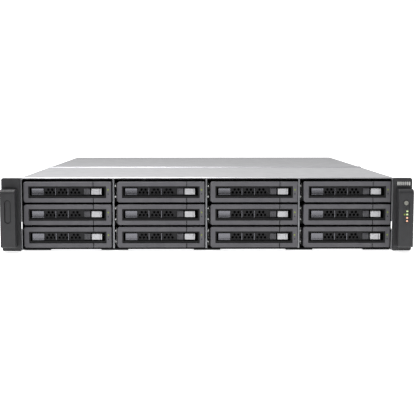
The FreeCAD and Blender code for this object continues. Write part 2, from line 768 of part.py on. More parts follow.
def rotor(centre, hub_r, tip_r, depth, blades, pitch_deg):
    """Hub and pitched blades that turn about the Y axis through a point."""
    hub = rod(hub_r, depth, centre, V(0, 1, 0))
    swept = rod(tip_r, depth, centre, V(0, 1, 0))
    chord = depth * 0.9 / math.cos(math.radians(pitch_deg))
    pieces = [hub]
    for k in range(blades):
        blade = block(-0.8, 0.8, -chord / 2, chord / 2, hub_r - 1.0, tip_r)
        blade.rotate(V(0, 0, 0), V(0, 0, 1), pitch_deg)
        blade.translate(V(0, depth / 2, 0))
        blade.rotate(V(0, 0, 0), V(0, 1, 0), 360.0 * k / blades)
        blade.translate(centre)
        pieces.append(blade.common(swept))
    return fuse(pieces)


def fan_frame(centre_x, centre_z, size, y0, depth, bore_r, hub_r, strut):
    """Square fan frame with a round duct, corner holes, four struts and a motor seat at the back."""
    half = size / 2
    holes = [circle(bore_r, V(centre_x, 0, centre_z), V(0, 1, 0))]
    corner = half * 0.895
    for a in (-1, 1):
        for b in (-1, 1):
            holes.append(circle(size * 0.027, V(centre_x + a * corner, 0, centre_z + b * corner), V(0, 1, 0)))
    frame = panel(rect(centre_x - half, centre_x + half, centre_z - half, centre_z + half, on_front), holes,
                  V(0, depth, 0))
    frame.translate(V(0, y0, 0))
    seat = rod(hub_r, strut, V(centre_x, y0 + depth - strut, centre_z), V(0, 1, 0))
    pieces = [frame, seat]
    for k in range(4):
        bar = block(-strut / 2, strut / 2, 0, strut, hub_r - 1, bore_r + 1)
        bar.rotate(V(0, 0, 0), V(0, 1, 0), 90.0 * k + 20.0)
        bar.translate(V(centre_x, y0 + depth - strut, centre_z))
        pieces.append(bar)
    return fuse(pieces)


def make_fans():
    z = z_floor + fan_lift + fan_size / 2
    holes = [rect(fan_x(k) - fan_size / 2 + 3, fan_x(k) + fan_size / 2 - 3, z - fan_size / 2 + 2,
                  z + fan_size / 2 - 2, on_front) for k in range(fans)]
    wall = panel(rect(-x_in + 0.5, x_in - 0.5, z_floor, z_cage_top - 0.5, on_front), holes, V(0, partition, 0))
    wall.translate(V(0, y_fans - partition, 0))
    frames = [fan_frame(fan_x(k), z, fan_size, y_fans, fan_depth, fan_bore, fan_hub_r + 1.0, 3.0)
              for k in range(fans)]
    write("fan_wall", [wall] + frames)
    for k in range(fans):
        centre = V(fan_x(k), y_fans + 4.0, z)
        write(f"fan_rotor_{k + 1}", [rotor(centre, fan_hub_r, fan_bore - 1.4, fan_depth - 12.0, fan_blades, 42.0)])


# ---- Boards and ports ------------------------------------------------------------------------------------------
def make_motherboard():
    """Main board with its processor cooler, memory, battery and storage module."""
    holes = [circle(screw_r + screw_slack, V(x, y, 0), V(0, 0, 1)) for x, y in board_screws]
    board = panel(rect(x_board, x_board + board_width, y_board, y_board + board_length, on_floor), holes,
                  V(0, 0, board_thick))
    board.translate(V(0, 0, z_board))
    z = z_board + board_thick
    pieces = [board]
    cooler_x = x_board + 95.0
    cooler_y = y_board + 28.0
    cooler = [block(cooler_x, cooler_x + 90.0, cooler_y, cooler_y + 90.0, z + 3.0, z + 9.0)]
    fins = 22
    for k in range(fins):
        x = cooler_x + k * 89.0 / (fins - 1)
        cooler.append(block(x, x + 1.0, cooler_y, cooler_y + 90.0, z + 9.0, z + 62.0))
    pieces.append(fuse(cooler))
    pieces.append(block(cooler_x + 25.0, cooler_x + 65.0, cooler_y + 25.0, cooler_y + 65.0, z, z + 3.0))
    for k in range(4):
        x = cooler_x + 104.0 + k * 10.0
        socket = block(x, x + 6.5, cooler_y - 26.0, cooler_y + 112.0, z, z + 8.0)
        key = block(x + 2.4, x + 4.1, cooler_y - 24.0, cooler_y + 110.0, z + 3.0, z + 8.0)
        pieces.append(socket.cut(key))
        pieces.append(block(x + 2.6, x + 3.9, cooler_y - 23.0, cooler_y + 109.0, z + 3.0, z + 34.0))
    pieces.append(rod(10.0, 4.0, V(x_board + 40.0, y_board + 36.0, z), V(0, 0, 1)))
    pieces.append(block(x_board + 30.0, x_board + 62.0, y_board + 60.0, y_board + 92.0, z, z + 14.0))
    pieces.append(block(x_board + 60.0, x_board + 115.0, y_board + 8.0, y_board + 18.0, z, z + 11.0))
    write("motherboard", pieces + rear_ports())


def port_block(x, z, width, height, depth, cavities):
    """A port's housing that stands through the port opening, with cavities given as (left, right, bottom, top, depth)."""
    y1 = y_back + 0.6
    body = block(x, x + width, y1 - depth, y1, z, z + height)
    for left, right, bottom, top, deep in cavities:
        body = body.cut(block(x + left, x + right, y1 - deep, y1 + 1, z + bottom, z + top))
    return body


network_port = (16.0, 13.6, 21.0)
network_cavity = (2.1, 13.9, 2.2, 10.8, 13.0)
network_first = 66.0
network_pitch = 17.5
usb_cavity_low = (0.9, 13.4, 1.2, 6.2, 10.0)
usb_cavity_high = (0.9, 13.4, 9.4, 14.4, 10.0)


def rear_ports():
    """Port shield with the network, serial-bus, display and console ports behind it."""
    z = z_board + board_thick
    pieces = []
    openings = []
    for k in range(4):
        x = io_left + network_first + k * network_pitch
        width, height, depth = network_port
        pieces.append(port_block(x, z, width, height, depth, [network_cavity]))
        openings.append((x, width, height))
    for k in range(2):
        x = io_left + 12.0 + k * 19.0
        pieces.append(port_block(x, z, 14.3, 15.6, 17.0, [usb_cavity_low, usb_cavity_high]))
        for low in (usb_cavity_low, usb_cavity_high):
            middle = z + (low[2] + low[3]) / 2 + 0.6
            pieces.append(block(x + 2.0, x + 12.3, y_back + 0.6 - low[4], y_back - 0.4, middle - 0.9, middle + 0.9))
        openings.append((x, 14.3, 15.6))
    x = io_left + 50.0
    pieces.append(port_block(x, z, 15.0, 6.0, 12.0, [(0.6, 14.4, 0.7, 5.3, 8.0)]))
    openings.append((x, 15.0, 6.0))
    x = io_left + 141.0
    pieces.append(port_block(x, z, 8.0, 8.0, 12.0, []).cut(
        rod(1.8, 14.0, V(x + 4.0, y_back - 12.0, z + 4.0), V(0, 1, 0))))
    openings.append((x, 8.0, 8.0))
    holes = [rect(x - 0.3, x + w + 0.3, z - 0.3, z + h + 0.3, on_front) for x, w, h in openings]
    shield = panel(rect(io_left - 2.0, io_left + io_width + 2.0, io_bottom - 0.5, io_bottom + io_height + 2.0,
                        on_front), holes, V(0, 0.6, 0))
    shield.translate(V(0, y_panel - 0.6, 0))
    return [shield] + pieces


cage_width = 10.0
cage_height = 14.8
cage_cavity = (0.6, 9.4, 0.6, 14.2)
cage_z = (22.0, 42.0)


def make_expansion_cards():
    """Slot brackets, and two cards: a network card with two open transceiver cages, and a storage card."""
    pieces = []
    bracket = 0.9
    y1 = y_panel - 0.1
    for k in range(slot_count):
        x = slot_x(k)
        holes = []
        if k == 1:
            half = cage_width / 2 + 0.3
            holes = [rect(x - half, x + half, z - 0.3, z + cage_height + 0.3, on_front) for z in cage_z]
        elif k != 2:
            holes = [rect(x - 3.0, x + 3.0, slot_bottom + 8.0 + j * 10.0, slot_bottom + 14.0 + j * 10.0, on_front)
                     for j in range(6)]
        plate = panel(rect(x - 9.2, x + 9.2, slot_bottom - 1.5, slot_bottom + slot_height + 1.5, on_front), holes,
                      V(0, bracket, 0))
        plate.translate(V(0, y1 - bracket, 0))
        pieces.append(plate)
    for k, length in ((1, 100.0), (2, 104.0)):
        x = slot_x(k) - 7.9 - board_thick
        y_end = y1 - bracket - 0.1
        pieces.append(block(x, x + board_thick, y_end - length, y_end, z_board + board_thick + 9.0, 74.0))
        pieces.append(block(x - 2.6, x + board_thick + 2.6, y_end - 99.0, y_end - 45.0, z_board + board_thick,
                            z_board + board_thick + 8.8))
        sink = [block(x + board_thick, x + board_thick + 2.0, y_end - 90.0, y_end - 50.0, 26.0, 62.0)]
        for j in range(8):
            z = 26.0 + j * 5.0
            sink.append(block(x + board_thick + 2.0, x + board_thick + 8.0, y_end - 90.0, y_end - 50.0, z, z + 1.0))
        pieces.append(fuse(sink))
    x = slot_x(1) - cage_width / 2
    left, right, bottom, top = cage_cavity
    for z in cage_z:
        body = block(x, x + cage_width, y_back - 42.0, y_back + 0.4, z, z + cage_height)
        pieces.append(body.cut(block(x + left, x + right, y_back - 38.0, y_back + 2.0, z + bottom, z + top)))
    write("expansion_cards", pieces)


# ---- Power modules ---------------------------------------------------------------------------------------------
def psu_bottom(k):
    return z_psu_first + k * psu_pitch


def make_power_module(k):
    """One hot-swap power module: steel casing, inlet, fan frame, handle and the boards inside."""
    x0 = x_psu
    x1 = x0 + psu_width
    z0 = psu_bottom(k)
    z1 = z0 + psu_height
    y1 = y_back + 0.5
    y0 = y1 - psu_length
    w = psu_wall
    fan_cx = x0 + psu_fan_from_left
    z_mid = (z0 + z1) / 2
    holes = []
    grille = 4.6
    for j in range(-3, 4):
        for i in range(-4, 5):
            a = i * grille + (grille / 2 if j % 2 else 0)
            b = j * grille * math.sqrt(3.0) / 2
            if math.hypot(a, b) < psu_fan_r - 2.2:
                holes.append(hexagon(fan_cx + a, z_mid + b, 3.8, on_front))
    inlet_x = x0 + inlet_left
    inlet_z = z_mid - inlet_height / 2
    holes.append(rect(inlet_x, inlet_x + inlet_width, inlet_z, inlet_z + inlet_height, on_front))
    latch_x = x0 + psu_latch_left
    holes.append(rect(latch_x - gap, latch_x + psu_latch_width + psu_latch_travel + gap,
                      z_mid - psu_latch_height / 2 - gap, z_mid + psu_latch_height / 2 + gap, on_front))
    back = panel(rect(x0, x1, z0, z1, on_front), holes, V(0, w, 0))
    back.translate(V(0, y1 - w, 0))
    skin = [back,
            block(x0, x0 + w, y0, y1, z0, z1), block(x1 - w, x1, y0, y1, z0, z1),
            block(x0, x1, y0, y1, z0, z0 + w), block(x0, x1, y0, y1, z1 - w, z1),
            block(x0, x1, y0, y0 + w, z0, z1).cut(block(x0 + 8, x1 - 8, y0 - 1, y0 + w + 1, z0 + 10, z1 - 6))]
    pieces = [fuse(skin)]

    inlet = block(inlet_x, inlet_x + inlet_width, y1 - inlet_depth - 2.0, y1 + 0.8, inlet_z, inlet_z + inlet_height)
    rim = inlet_rim
    inlet = inlet.cut(block(inlet_x + rim, inlet_x + inlet_width - rim, y1 - inlet_depth + 1.0, y1 + 2.0,
                            inlet_z + rim, inlet_z + inlet_height - rim))
    middle = inlet_x + inlet_width / 2
    blades = [(middle - 7.0, z_mid - 3.5), (middle, z_mid - 6.0), (middle + 7.0, z_mid - 3.5)]
    for bx, bz in blades:
        inlet = inlet.fuse(block(bx - 1.0, bx + 1.0, y1 - inlet_depth, y1 - 3.0, bz - 2.0, bz + 2.0))
    pieces.append(inlet.removeSplitter())

    frame = fan_frame(fan_cx, z_mid, psu_fan_frame, y1 - w - 16.0, 16.0 - slip, psu_fan_r, psu_hub_r + 0.5, 1.6)
    pieces.append(frame)

    h0 = x0 + psu_handle_left
    h1 = h0 + psu_handle_width
    bar = psu_handle_bar
    y2 = y_back + psu_handle_reach
    half = psu_handle_height / 2
    outer = ring_wire([V(h0, y1, 0), V(h1, y1, 0), V(h1, y2 - 4.0, 0), V(h1 - 4.0, y2, 0), V(h0 + 4.0, y2, 0),
                       V(h0, y2 - 4.0, 0)])
    handle = Part.Face(outer).extrude(V(0, 0, 2 * half))
    handle.translate(V(0, 0, z_mid - half))
    handle = handle.cut(block(h0 + bar - 1.0, h1 - bar + 1.0, y1 - 1, y2 - bar, z_mid - half - 1, z_mid + half + 1))
    pieces.append(handle)

    board = block(x0 + w + 1.0, x1 - w - 1.0, y0 - 8.0, y1 - 24.0, z0 + 5.0, z0 + 6.6)
    slot = block(x0 + w, x1 - w, y0 - 1, y0 + w + 1, z0 + 4.6, z0 + 7.0)
    pieces[0] = pieces[0].cut(slot)
    pieces.append(board)
    middle = (x0 + x1) / 2
    for a, b, c, d, e in ((x0 + 8.0, middle + 3.25, 60.0, 95.0, 26.0),
                          (middle + 8.25, x1 - 7.5, 60.0, 80.0, 22.0),
                          (x0 + 10.0, x1 - 9.5, 20.0, 48.0, 18.0),
                          (x0 + 12.0, middle - 6.75, 110.0, 140.0, 24.0),
                          (middle + 1.25, x1 - 11.5, 105.0, 145.0, 20.0)):
        pieces.append(block(a, b, y0 + c, y0 + d, z0 + 6.6, z0 + 6.6 + e))
    write(f"power_module_{k + 1}", pieces)


def make_power_latch(k):
    """Sprung latch tab beside the handle, on a stem that runs into the casing."""
    x0 = x_psu + psu_latch_left
    x1 = x0 + psu_latch_width
    y1 = y_back + 0.5
    z_mid = psu_bottom(k) + psu_height / 2
    half = psu_latch_height / 2
    outline = ring_wire([V(0, y1 - 9.0, z_mid - half), V(0, y1 + psu_latch_reach, z_mid - half + 2.5),
                         V(0, y1 + psu_latch_reach, z_mid + half - 2.5), V(0, y1 - 9.0, z_mid + half)])
    tab = Part.Face(outline).extrude(V(psu_latch_width, 0, 0))
    tab.translate(V(x0, 0, 0))
    ribs = [block(x0 - 0.6, x0, y1 + psu_latch_reach - 3.0 - 2.4 * j, y1 + psu_latch_reach - 1.8 - 2.4 * j,
                  z_mid - half + 3.0, z_mid + half - 3.0) for j in range(3)]
    write(f"power_latch_{k + 1}", [fuse([tab] + ribs)])


def make_power_rotor(k):
    centre = V(x_psu + psu_fan_from_left, y_back + 0.5 - psu_wall - 14.6, psu_bottom(k) + psu_height / 2)
    write(f"power_rotor_{k + 1}", [rotor(centre, psu_hub_r, psu_rotor_r, 11.0, 5, 38.0)])


def make_power_bay():
    """Sheet-metal bay that guides both power modules, with the distribution board at its inner end."""
    x0 = psu_bay_left
    x1 = x0 + psu_width + 2 * (psu_bay_sheet + gap)
    y0 = y_back - psu_length - 30.0
    y1 = y_panel - 0.1
    s = psu_bay_sheet
    z0 = z_floor
    z1 = z_psu_first + 2 * psu_pitch - gap
    pieces = [block(x0, x0 + s, y0, y1, z0, z1), block(x1 - s, x1, y0, y1, z0, z1)]
    for k in range(3):
        z = z_psu_first - gap - s + k * psu_pitch
        pieces.append(block(x0, x1, y0 + 20.0, y1, z, z + s))
    board = block(x0 + s + 1.0, x1 - s - 1.0, y0 + 4.0, y0 + 6.4, z0 + 2.0, z1 - 2.0)
    sockets = [block(x0 + 16.0, x1 - 16.0, y0 + 6.4, y0 + 14.0, psu_bottom(k) + 2.0, psu_bottom(k) + 4.8)
               for k in range(2)]
    write("power_bay", [fuse(pieces), board] + sockets)


# ---- Ears ------------------------------------------------------------------------------------------------------
def make_rack_ears():
    """Steel angle on each side: a flange along the case and a slotted plate for the rack's uprights."""
    z_mid = (z_ear + z_ear_top) / 2
    pieces = []
    for side in (-1, 1):
        holes = [stadium(V(side * rack_hole_span / 2, 0, z_mid + end * rack_hole_pitch / 2), rack_slot_length,
                         rack_slot_width, V(1, 0, 0), V(0, 0, 1)) for end in (-1, 1)]
        plate = panel(rect(side * x_ear, side * x_edge, z_ear, z_ear_top, on_front), holes, V(0, ear_sheet, 0))
        plate.translate(V(0, y_ear_front, 0))
        holes = [circle(screw_r + screw_slack, V(0, y, z), V(1, 0, 0)) for y, z in ear_screws]
        flange = panel(rect(y_ear_front, y_front + ear_flange_length, z_ear + 0.6, z_ear_top - 0.6, on_side), holes,
                       V(ear_sheet, 0, 0))
        flange.translate(V(x_out if side > 0 else -x_ear, 0, 0))
        notch = block(side * (x_out - 1), side * (x_ear + ear_notch_in_plate), y_ear_front - 1,
                      y_ear_front + ear_notch_depth, ear_notch_bottom, ear_notch_bottom + ear_notch_height)
        pieces.append(fuse([plate, flange]).cut(notch))
    write("rack_ears", pieces)


def handle_block(x0, x1):
    """The handle block's side profile, rounded at top and bottom, between two planes, with softened side edges."""
    top = z_ear_top - handle_drop
    low = z_ear + handle_rise
    y0 = y_handle
    y1 = y_cover_face + 1.0
    a = handle_top_round
    b = handle_low_round
    half = math.sqrt(0.5)
    points = [V(x0, y1, top), V(x0, y0 + a, top), V(x0, y0, top - a), V(x0, y0, low + b), V(x0, y0 + b, low),
              V(x0, y1, low)]
    upper = Part.Arc(points[1], V(x0, y0 + a - a * half, top - a + a * half), points[2])
    lower = Part.Arc(points[3], V(x0, y0 + b - b * half, low + b - b * half), points[4])
    edges = [Part.makeLine(points[0], points[1]), upper.toShape(), Part.makeLine(points[2], points[3]),
             lower.toShape(), Part.makeLine(points[4], points[5]), Part.makeLine(points[5], points[0])]
    grip = Part.Face(Part.Wire(edges)).extrude(V(x1 - x0, 0, 0))
    rims = [e for e in grip.Edges if e.BoundBox.XLength < 1e-6 and e.BoundBox.YMin < y1 - 0.5]
    return grip.makeFillet(handle_side_round, rims)


def ear_cover(side):
    """Moulded cover over an ear: a shallow base and a deeper handle block with a long inset, hollow behind."""
    x_inner = side * (x_out - gap)
    x_outer = side * x_edge
    base = block(x_inner, x_outer, y_cover_face, y_ear_front, z_ear, z_ear_top)
    outer_edges = [e for e in base.Edges if abs(e.CenterOfMass.x - x_outer) < 1e-6 and e.BoundBox.ZLength < 1e-6
                   and e.BoundBox.YLength > 1.0]
    base = base.makeFillet(base_round, outer_edges)
    h1 = side * (x_edge - handle_inset)
    h0 = side * (x_edge - handle_inset - handle_width)
    grip = handle_block(min(h0, h1), max(h0, h1))
    body = fuse([base, grip])
    w = cover_wall
    cut_base = block(x_inner + side * w, x_outer - side * w, y_cover_face + w, y_ear_front + 1, z_ear + w, z_ear_top - w)
    cut_grip = block(h0 + side * w, h1 - side * w, y_handle + w + inset_depth, y_cover_face + w + 1,
                     z_ear + handle_rise + w, z_ear_top - handle_drop - w)
    inset = Part.Face(stadium(V(side * inset_x, y_handle - 1, inset_z), inset_height, inset_width, V(0, 0, 1),
                              V(1, 0, 0))).extrude(V(0, 1 + inset_depth, 0))
    return body.cut(cut_base).cut(cut_grip).cut(inset)


def make_ear_covers():
    write("left_ear_cover", [ear_cover(-1)])
    cover = ear_cover(1)
    y_inset = y_handle + inset_depth
    hole = rod(power_button_r + slip, 8.0, V(inset_x, y_inset - 1, power_button_z), V(0, 1, 0))
    reset = rod(reset_hole_r, 8.0, V(inset_x, y_inset - 1, reset_hole_z), V(0, 1, 0))
    lamps = []
    width, height = lamp_size
    slots = []
    for offset, z in lamp_places:
        x = inset_x + offset
        lamps.append(block(x - width / 2, x + width / 2, y_inset - 0.3, y_inset + cover_wall + 2.0,
                           z - height / 2, z + height / 2))
        slots.append(block(x - width / 2 - 0.05, x + width / 2 + 0.05, y_inset - 1, y_inset + cover_wall + 1.0,
                           z - height / 2 - 0.05, z + height / 2 + 0.05))
    cover = cover.cut(Part.makeCompound([hole, reset] + slots))
    board_y = y_inset + cover_wall + 2.0
    control_board = block(x_edge - handle_inset - handle_width + cover_wall + 1.0,
                          x_edge - handle_inset - cover_wall - 1.0, board_y, board_y + board_thick,
                          inset_z - inset_height / 2, power_button_z - power_button_r - 1.0)
    write("right_ear_cover", [cover, control_board] + lamps)
    cap = rod(power_button_r, power_button_length, V(inset_x, y_inset - 1.0, power_button_z), V(0, 1, 0))
    collar = rod(power_button_r + 0.8, 1.0, V(inset_x, y_inset + cover_wall + 0.3, power_button_z), V(0, 1, 0))
    write("power_button", [fuse([cap, collar])])


# ---- Everything ------------------------------------------------------------------------------------------------
def main():
    os.makedirs(OUT, exist_ok=True)
    for name in os.listdir(OUT):
        if name.endswith(".step"):
            os.remove(os.path.join(OUT, name))
    make_chassis_base()
    make_covers()
    make_rear_panel()
    make_drive_cage()
    make_backplane()
    for column in range(columns):
        for row in range(rows):
            make_tray(column, row)
            make_lever(column, row)
            make_release(column, row)
    make_fans()
    make_motherboard()
    make_expansion_cards()
    make_power_bay()
    for k in range(2):
        make_power_module(k)
        make_power_latch(k)
        make_power_rotor(k)
    make_rack_ears()
    make_ear_covers()
    make_screws()


main()
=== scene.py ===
"""Two-unit rack storage server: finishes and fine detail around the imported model.

Metres, in the model's own frame: +X right, +Y back, +Z up."""
import math

import bmesh
import bpy
from mathutils import Matrix, Vector


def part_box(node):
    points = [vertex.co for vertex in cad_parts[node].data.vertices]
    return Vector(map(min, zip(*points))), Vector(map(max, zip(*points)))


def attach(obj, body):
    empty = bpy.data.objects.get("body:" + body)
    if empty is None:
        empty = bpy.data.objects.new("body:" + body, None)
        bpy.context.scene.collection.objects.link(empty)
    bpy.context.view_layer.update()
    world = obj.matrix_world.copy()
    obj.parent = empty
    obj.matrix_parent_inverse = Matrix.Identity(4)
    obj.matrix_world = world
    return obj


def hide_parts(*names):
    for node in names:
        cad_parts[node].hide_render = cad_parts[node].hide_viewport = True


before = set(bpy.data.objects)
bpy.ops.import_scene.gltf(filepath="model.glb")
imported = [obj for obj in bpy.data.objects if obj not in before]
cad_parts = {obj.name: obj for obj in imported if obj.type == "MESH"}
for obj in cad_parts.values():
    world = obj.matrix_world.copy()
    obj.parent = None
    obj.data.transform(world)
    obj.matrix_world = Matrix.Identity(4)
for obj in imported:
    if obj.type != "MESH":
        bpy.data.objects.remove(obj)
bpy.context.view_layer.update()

MM = 0.001
COLUMNS, ROWS = 4, 3
SLOTS = [(c, r) for c in range(1, COLUMNS + 1) for r in range(1, ROWS + 1)]

# ---- Camera --------------------------------------------------------------------------------------
TRAY_FACE_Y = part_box("tray_1_1")[0].y
LENS_MM, SENSOR_MM = 82.08, 36.0
EYE = Vector((-12.1 * MM, TRAY_FACE_Y - 1118.4 * MM, 160.7 * MM))
LOOK_DOWN, LOOK_RIGHT = math.radians(5.585), math.radians(0.672)

eye = bpy.data.objects.new("camera", bpy.data.cameras.new("camera"))
bpy.context.scene.collection.objects.link(eye)
eye.data.lens, eye.data.sensor_width = LENS_MM, SENSOR_MM
eye.data.clip_start, eye.data.clip_end = 0.01, 60.0
eye.location = EYE
eye.rotation_euler = (math.radians(90) - LOOK_DOWN, 0.0, -LOOK_RIGHT)
bpy.context.scene.camera = eye


# ---- Node helpers --------------------------------------------------------------------------------
def linear(code):
    """A '#rrggbb' colour as linear RGBA."""
    part = [int(code[i:i + 2], 16) / 255 for i in (1, 3, 5)]
    return [c / 12.92 if c <= 0.04045 else ((c + 0.055) / 1.055) ** 2.4 for c in part] + [1.0]


def add(tree, kind, settings=None, inputs=None):
    """Adds a node, with its settings, and its inputs as values or as sockets to link from."""
    made = tree.nodes.new(kind)
    for key, value in (settings or {}).items():
        setattr(made, key, value)
    for key, value in (inputs or {}).items():
        socket = made.inputs[key]
        if isinstance(value, bpy.types.NodeSocket):
            tree.links.new(value, socket)
        else:
            socket.default_value = value
    return made


def new_material(name):
    made = bpy.data.materials.new(name)
    made.use_nodes = True
    tree = made.node_tree
    shader = tree.nodes["Principled BSDF"]
    return made, tree, shader


def flecked(tree, where, size_mm, detail=2.0, rough=0.5):
    """Noise whose cells are about a given size."""
    return add(tree, "ShaderNodeTexNoise", inputs={
        "Vector": where, "Scale": 1 / (size_mm * MM), "Detail": detail, "Roughness": rough}).outputs["Fac"]


def ranged(tree, value, low, high, start=0.3, stop=0.7):
    return add(tree, "ShaderNodeMapRange", inputs={
        0: value, 1: start, 2: stop, 3: low, 4: high}).outputs["Result"]


def tinted(tree, value, dark, light, start=0.3, stop=0.7):
    ramp = add(tree, "ShaderNodeValToRGB", inputs={"Fac": value})
    ramp.color_ramp.elements[0].position, ramp.color_ramp.elements[1].position = start, stop
    ramp.color_ramp.elements[0].color, ramp.color_ramp.elements[1].color = linear(dark), linear(light)
    return ramp.outputs["Color"]


def bumped(tree, height, depth_mm, strength=1.0):
    return add(tree, "ShaderNodeBump", inputs={
        "Height": height, "Distance": depth_mm * MM, "Strength": strength}).outputs["Normal"]


def place(tree, stretch=(1, 1, 1)):
    """The piece's own coordinates, stretched for a grain that runs one way."""
    coords = add(tree, "ShaderNodeTexCoord").outputs["Object"]
    return add(tree, "ShaderNodeMapping", inputs={"Vector": coords, "Scale": stretch}).outputs["Vector"]


# ---- Materials -----------------------------------------------------------------------------------
def moulded_abs(name, dark, light, roughness, grain_mm=0.7, grain_depth_mm=0.02, gloss=0.5):
    """Injection-moulded ABS from a spark-eroded tool: an even pebble, faint flow mottling, a soft sheen.

    The real pebble is about a tenth of a millimetre, and is drawn coarser so that it shows."""
    made, tree, shader = new_material(name)
    where = place(tree)
    mottle = flecked(tree, where, 9.0)
    pebble = flecked(tree, where, grain_mm, detail=3.0)
    shader.inputs["IOR"].default_value = 1.54
    shader.inputs["Specular IOR Level"].default_value = gloss
    tree.links.new(tinted(tree, mottle, dark, light), shader.inputs["Base Color"])
    tree.links.new(ranged(tree, pebble, roughness - 0.05, roughness + 0.07), shader.inputs["Roughness"])
    tree.links.new(bumped(tree, pebble, grain_depth_mm), shader.inputs["Normal"])
    return made


def galvanised_steel(name, dark, light, roughness, stretch=(0.06, 1, 1), painted_fade=None):
    """Zinc-coated sheet steel, skin-passed at the mill: cool grey, long rolling streaks, a cloudy satin
    reflection. The last argument is (share lost, from y, to y): painted shade, the colour darkened along Y
    where the reflection dims."""
    made, tree, shader = new_material(name)
    streaks = flecked(tree, place(tree, stretch), 1.6, detail=5.0, rough=0.6)
    clouds = flecked(tree, place(tree), 14.0)
    both = add(tree, "ShaderNodeMath", {"operation": "MULTIPLY_ADD"}, {
        0: streaks, 1: 0.6, 2: ranged(tree, clouds, 0.1, 0.3)}).outputs[0]
    shader.inputs["Metallic"].default_value = 1.0
    colour = tinted(tree, both, dark, light)
    if painted_fade:
        along = add(tree, "ShaderNodeSeparateXYZ", inputs={0: place(tree)}).outputs["Y"]
        lit_share = ranged(tree, along, 1.0, 1.0 - painted_fade[0], painted_fade[1], painted_fade[2])
        colour = add(tree, "ShaderNodeVectorMath", {"operation": "SCALE"}, {
            0: colour, "Scale": lit_share}).outputs[0]
    tree.links.new(colour, shader.inputs["Base Color"])
    tree.links.new(ranged(tree, both, roughness + 0.06, roughness - 0.04), shader.inputs["Roughness"])
    tree.links.new(bumped(tree, streaks, 0.006), shader.inputs["Normal"])
    return made


def dark_coat(name, dark="#09090a", light="#101011", roughness=0.62):
    """Black electrocoat on pressed or cast metal: thin, dead flat, hardly any sheen, a dusty orange peel.
    Drawn dead black, it is also painted shade on the cage, the carrier and the drive.
    """
    made, tree, shader = new_material(name)
    dust = flecked(tree, place(tree), 4.0, detail=3.0)
    peel = flecked(tree, place(tree), 0.6)
    shader.inputs["IOR"].default_value = 1.45
    shader.inputs["Specular IOR Level"].default_value = 0.25
    tree.links.new(tinted(tree, dust, dark, light), shader.inputs["Base Color"])
    tree.links.new(ranged(tree, dust, roughness + 0.1, roughness - 0.05), shader.inputs["Roughness"])
    tree.links.new(bumped(tree, peel, 0.01), shader.inputs["Normal"])
    return made


def silver_paint(name, dark, light, roughness, metallic=0.55):
    """Silver lacquer on a moulding: metal flake under a satin coat, drawn coarser than the real flake."""
    made, tree, shader = new_material(name)
    flake = flecked(tree, place(tree), 0.35, detail=1.0)
    shader.inputs["Metallic"].default_value = metallic
    shader.inputs["Coat Weight"].default_value = 0.15
    shader.inputs["Coat Roughness"].default_value = 0.3
    tree.links.new(tinted(tree, flake, dark, light), shader.inputs["Base Color"])
    tree.links.new(ranged(tree, flake, roughness + 0.05, roughness - 0.05), shader.inputs["Roughness"])
    tree.links.new(bumped(tree, flake, 0.004), shader.inputs["Normal"])
    return made


def bright_metal(name, dark, light, roughness, grain_mm=1.0, stretch=(1, 1, 1)):
    """Plated, cast or drawn metal: its own colour in the reflection, worn a little dull."""
    made, tree, shader = new_material(name)
    wear = flecked(tree, place(tree, stretch), grain_mm, detail=4.0)
    shader.inputs["Metallic"].default_value = 1.0
    tree.links.new(tinted(tree, wear, dark, light), shader.inputs["Base Color"])
    tree.links.new(ranged(tree, wear, roughness + 0.08, roughness - 0.05), shader.inputs["Roughness"])
    tree.links.new(bumped(tree, wear, 0.01), shader.inputs["Normal"])
    return made


def solder_mask(name):
    """Green epoxy over etched copper: darker laminate, raised lighter tracks in a grid, a wet gloss."""
    made, tree, shader = new_material(name)
    where = place(tree)
    tracks = add(tree, "ShaderNodeTexBrick", {"offset": 0.35}, {
        "Vector": where, "Scale": 1 / MM, "Mortar Size": 0.35, "Mortar Smooth": 0.2, "Brick Width": 7.0,
        "Row Height": 2.2, "Color1": linear("#0f3f26"), "Color2": linear("#0c3320"),
        "Mortar": linear("#1b5a37")})
    cloud = flecked(tree, where, 3.0)
    shader.inputs["IOR"].default_value = 1.5
    shader.inputs["Coat Weight"].default_value = 0.3
    tree.links.new(tracks.outputs["Color"], shader.inputs["Base Color"])
    tree.links.new(ranged(tree, cloud, 0.28, 0.42), shader.inputs["Roughness"])
    tree.links.new(bumped(tree, tracks.outputs["Fac"], 0.03), shader.inputs["Normal"])
    return made


def lamp_lens(name, dark, light, glow, strength):
    """Tinted acrylic light pipe over a lamp: brighter in the middle of its grain, with a clear gloss."""
    made, tree, shader = new_material(name)
    haze = flecked(tree, place(tree), 0.8)
    shader.inputs["IOR"].default_value = 1.49
    shader.inputs["Emission Strength"].default_value = strength
    shader.inputs["Emission Color"].default_value = linear(glow)
    tree.links.new(tinted(tree, haze, dark, light), shader.inputs["Base Color"])
    tree.links.new(ranged(tree, haze, 0.2, 0.35), shader.inputs["Roughness"])
    return made


FACE_ABS = moulded_abs("tray_face_moulded_abs", "#4e4d52", "#565559", 0.48)
# The window liner's black, also used as painted shade on the tray faces' tops and bottoms between the trays.
LINER_AND_GAP_SHADE_ABS = moulded_abs("window_liner_and_gap_shade_abs", "#0e0e0f", "#141415", 0.6, gloss=0.22)
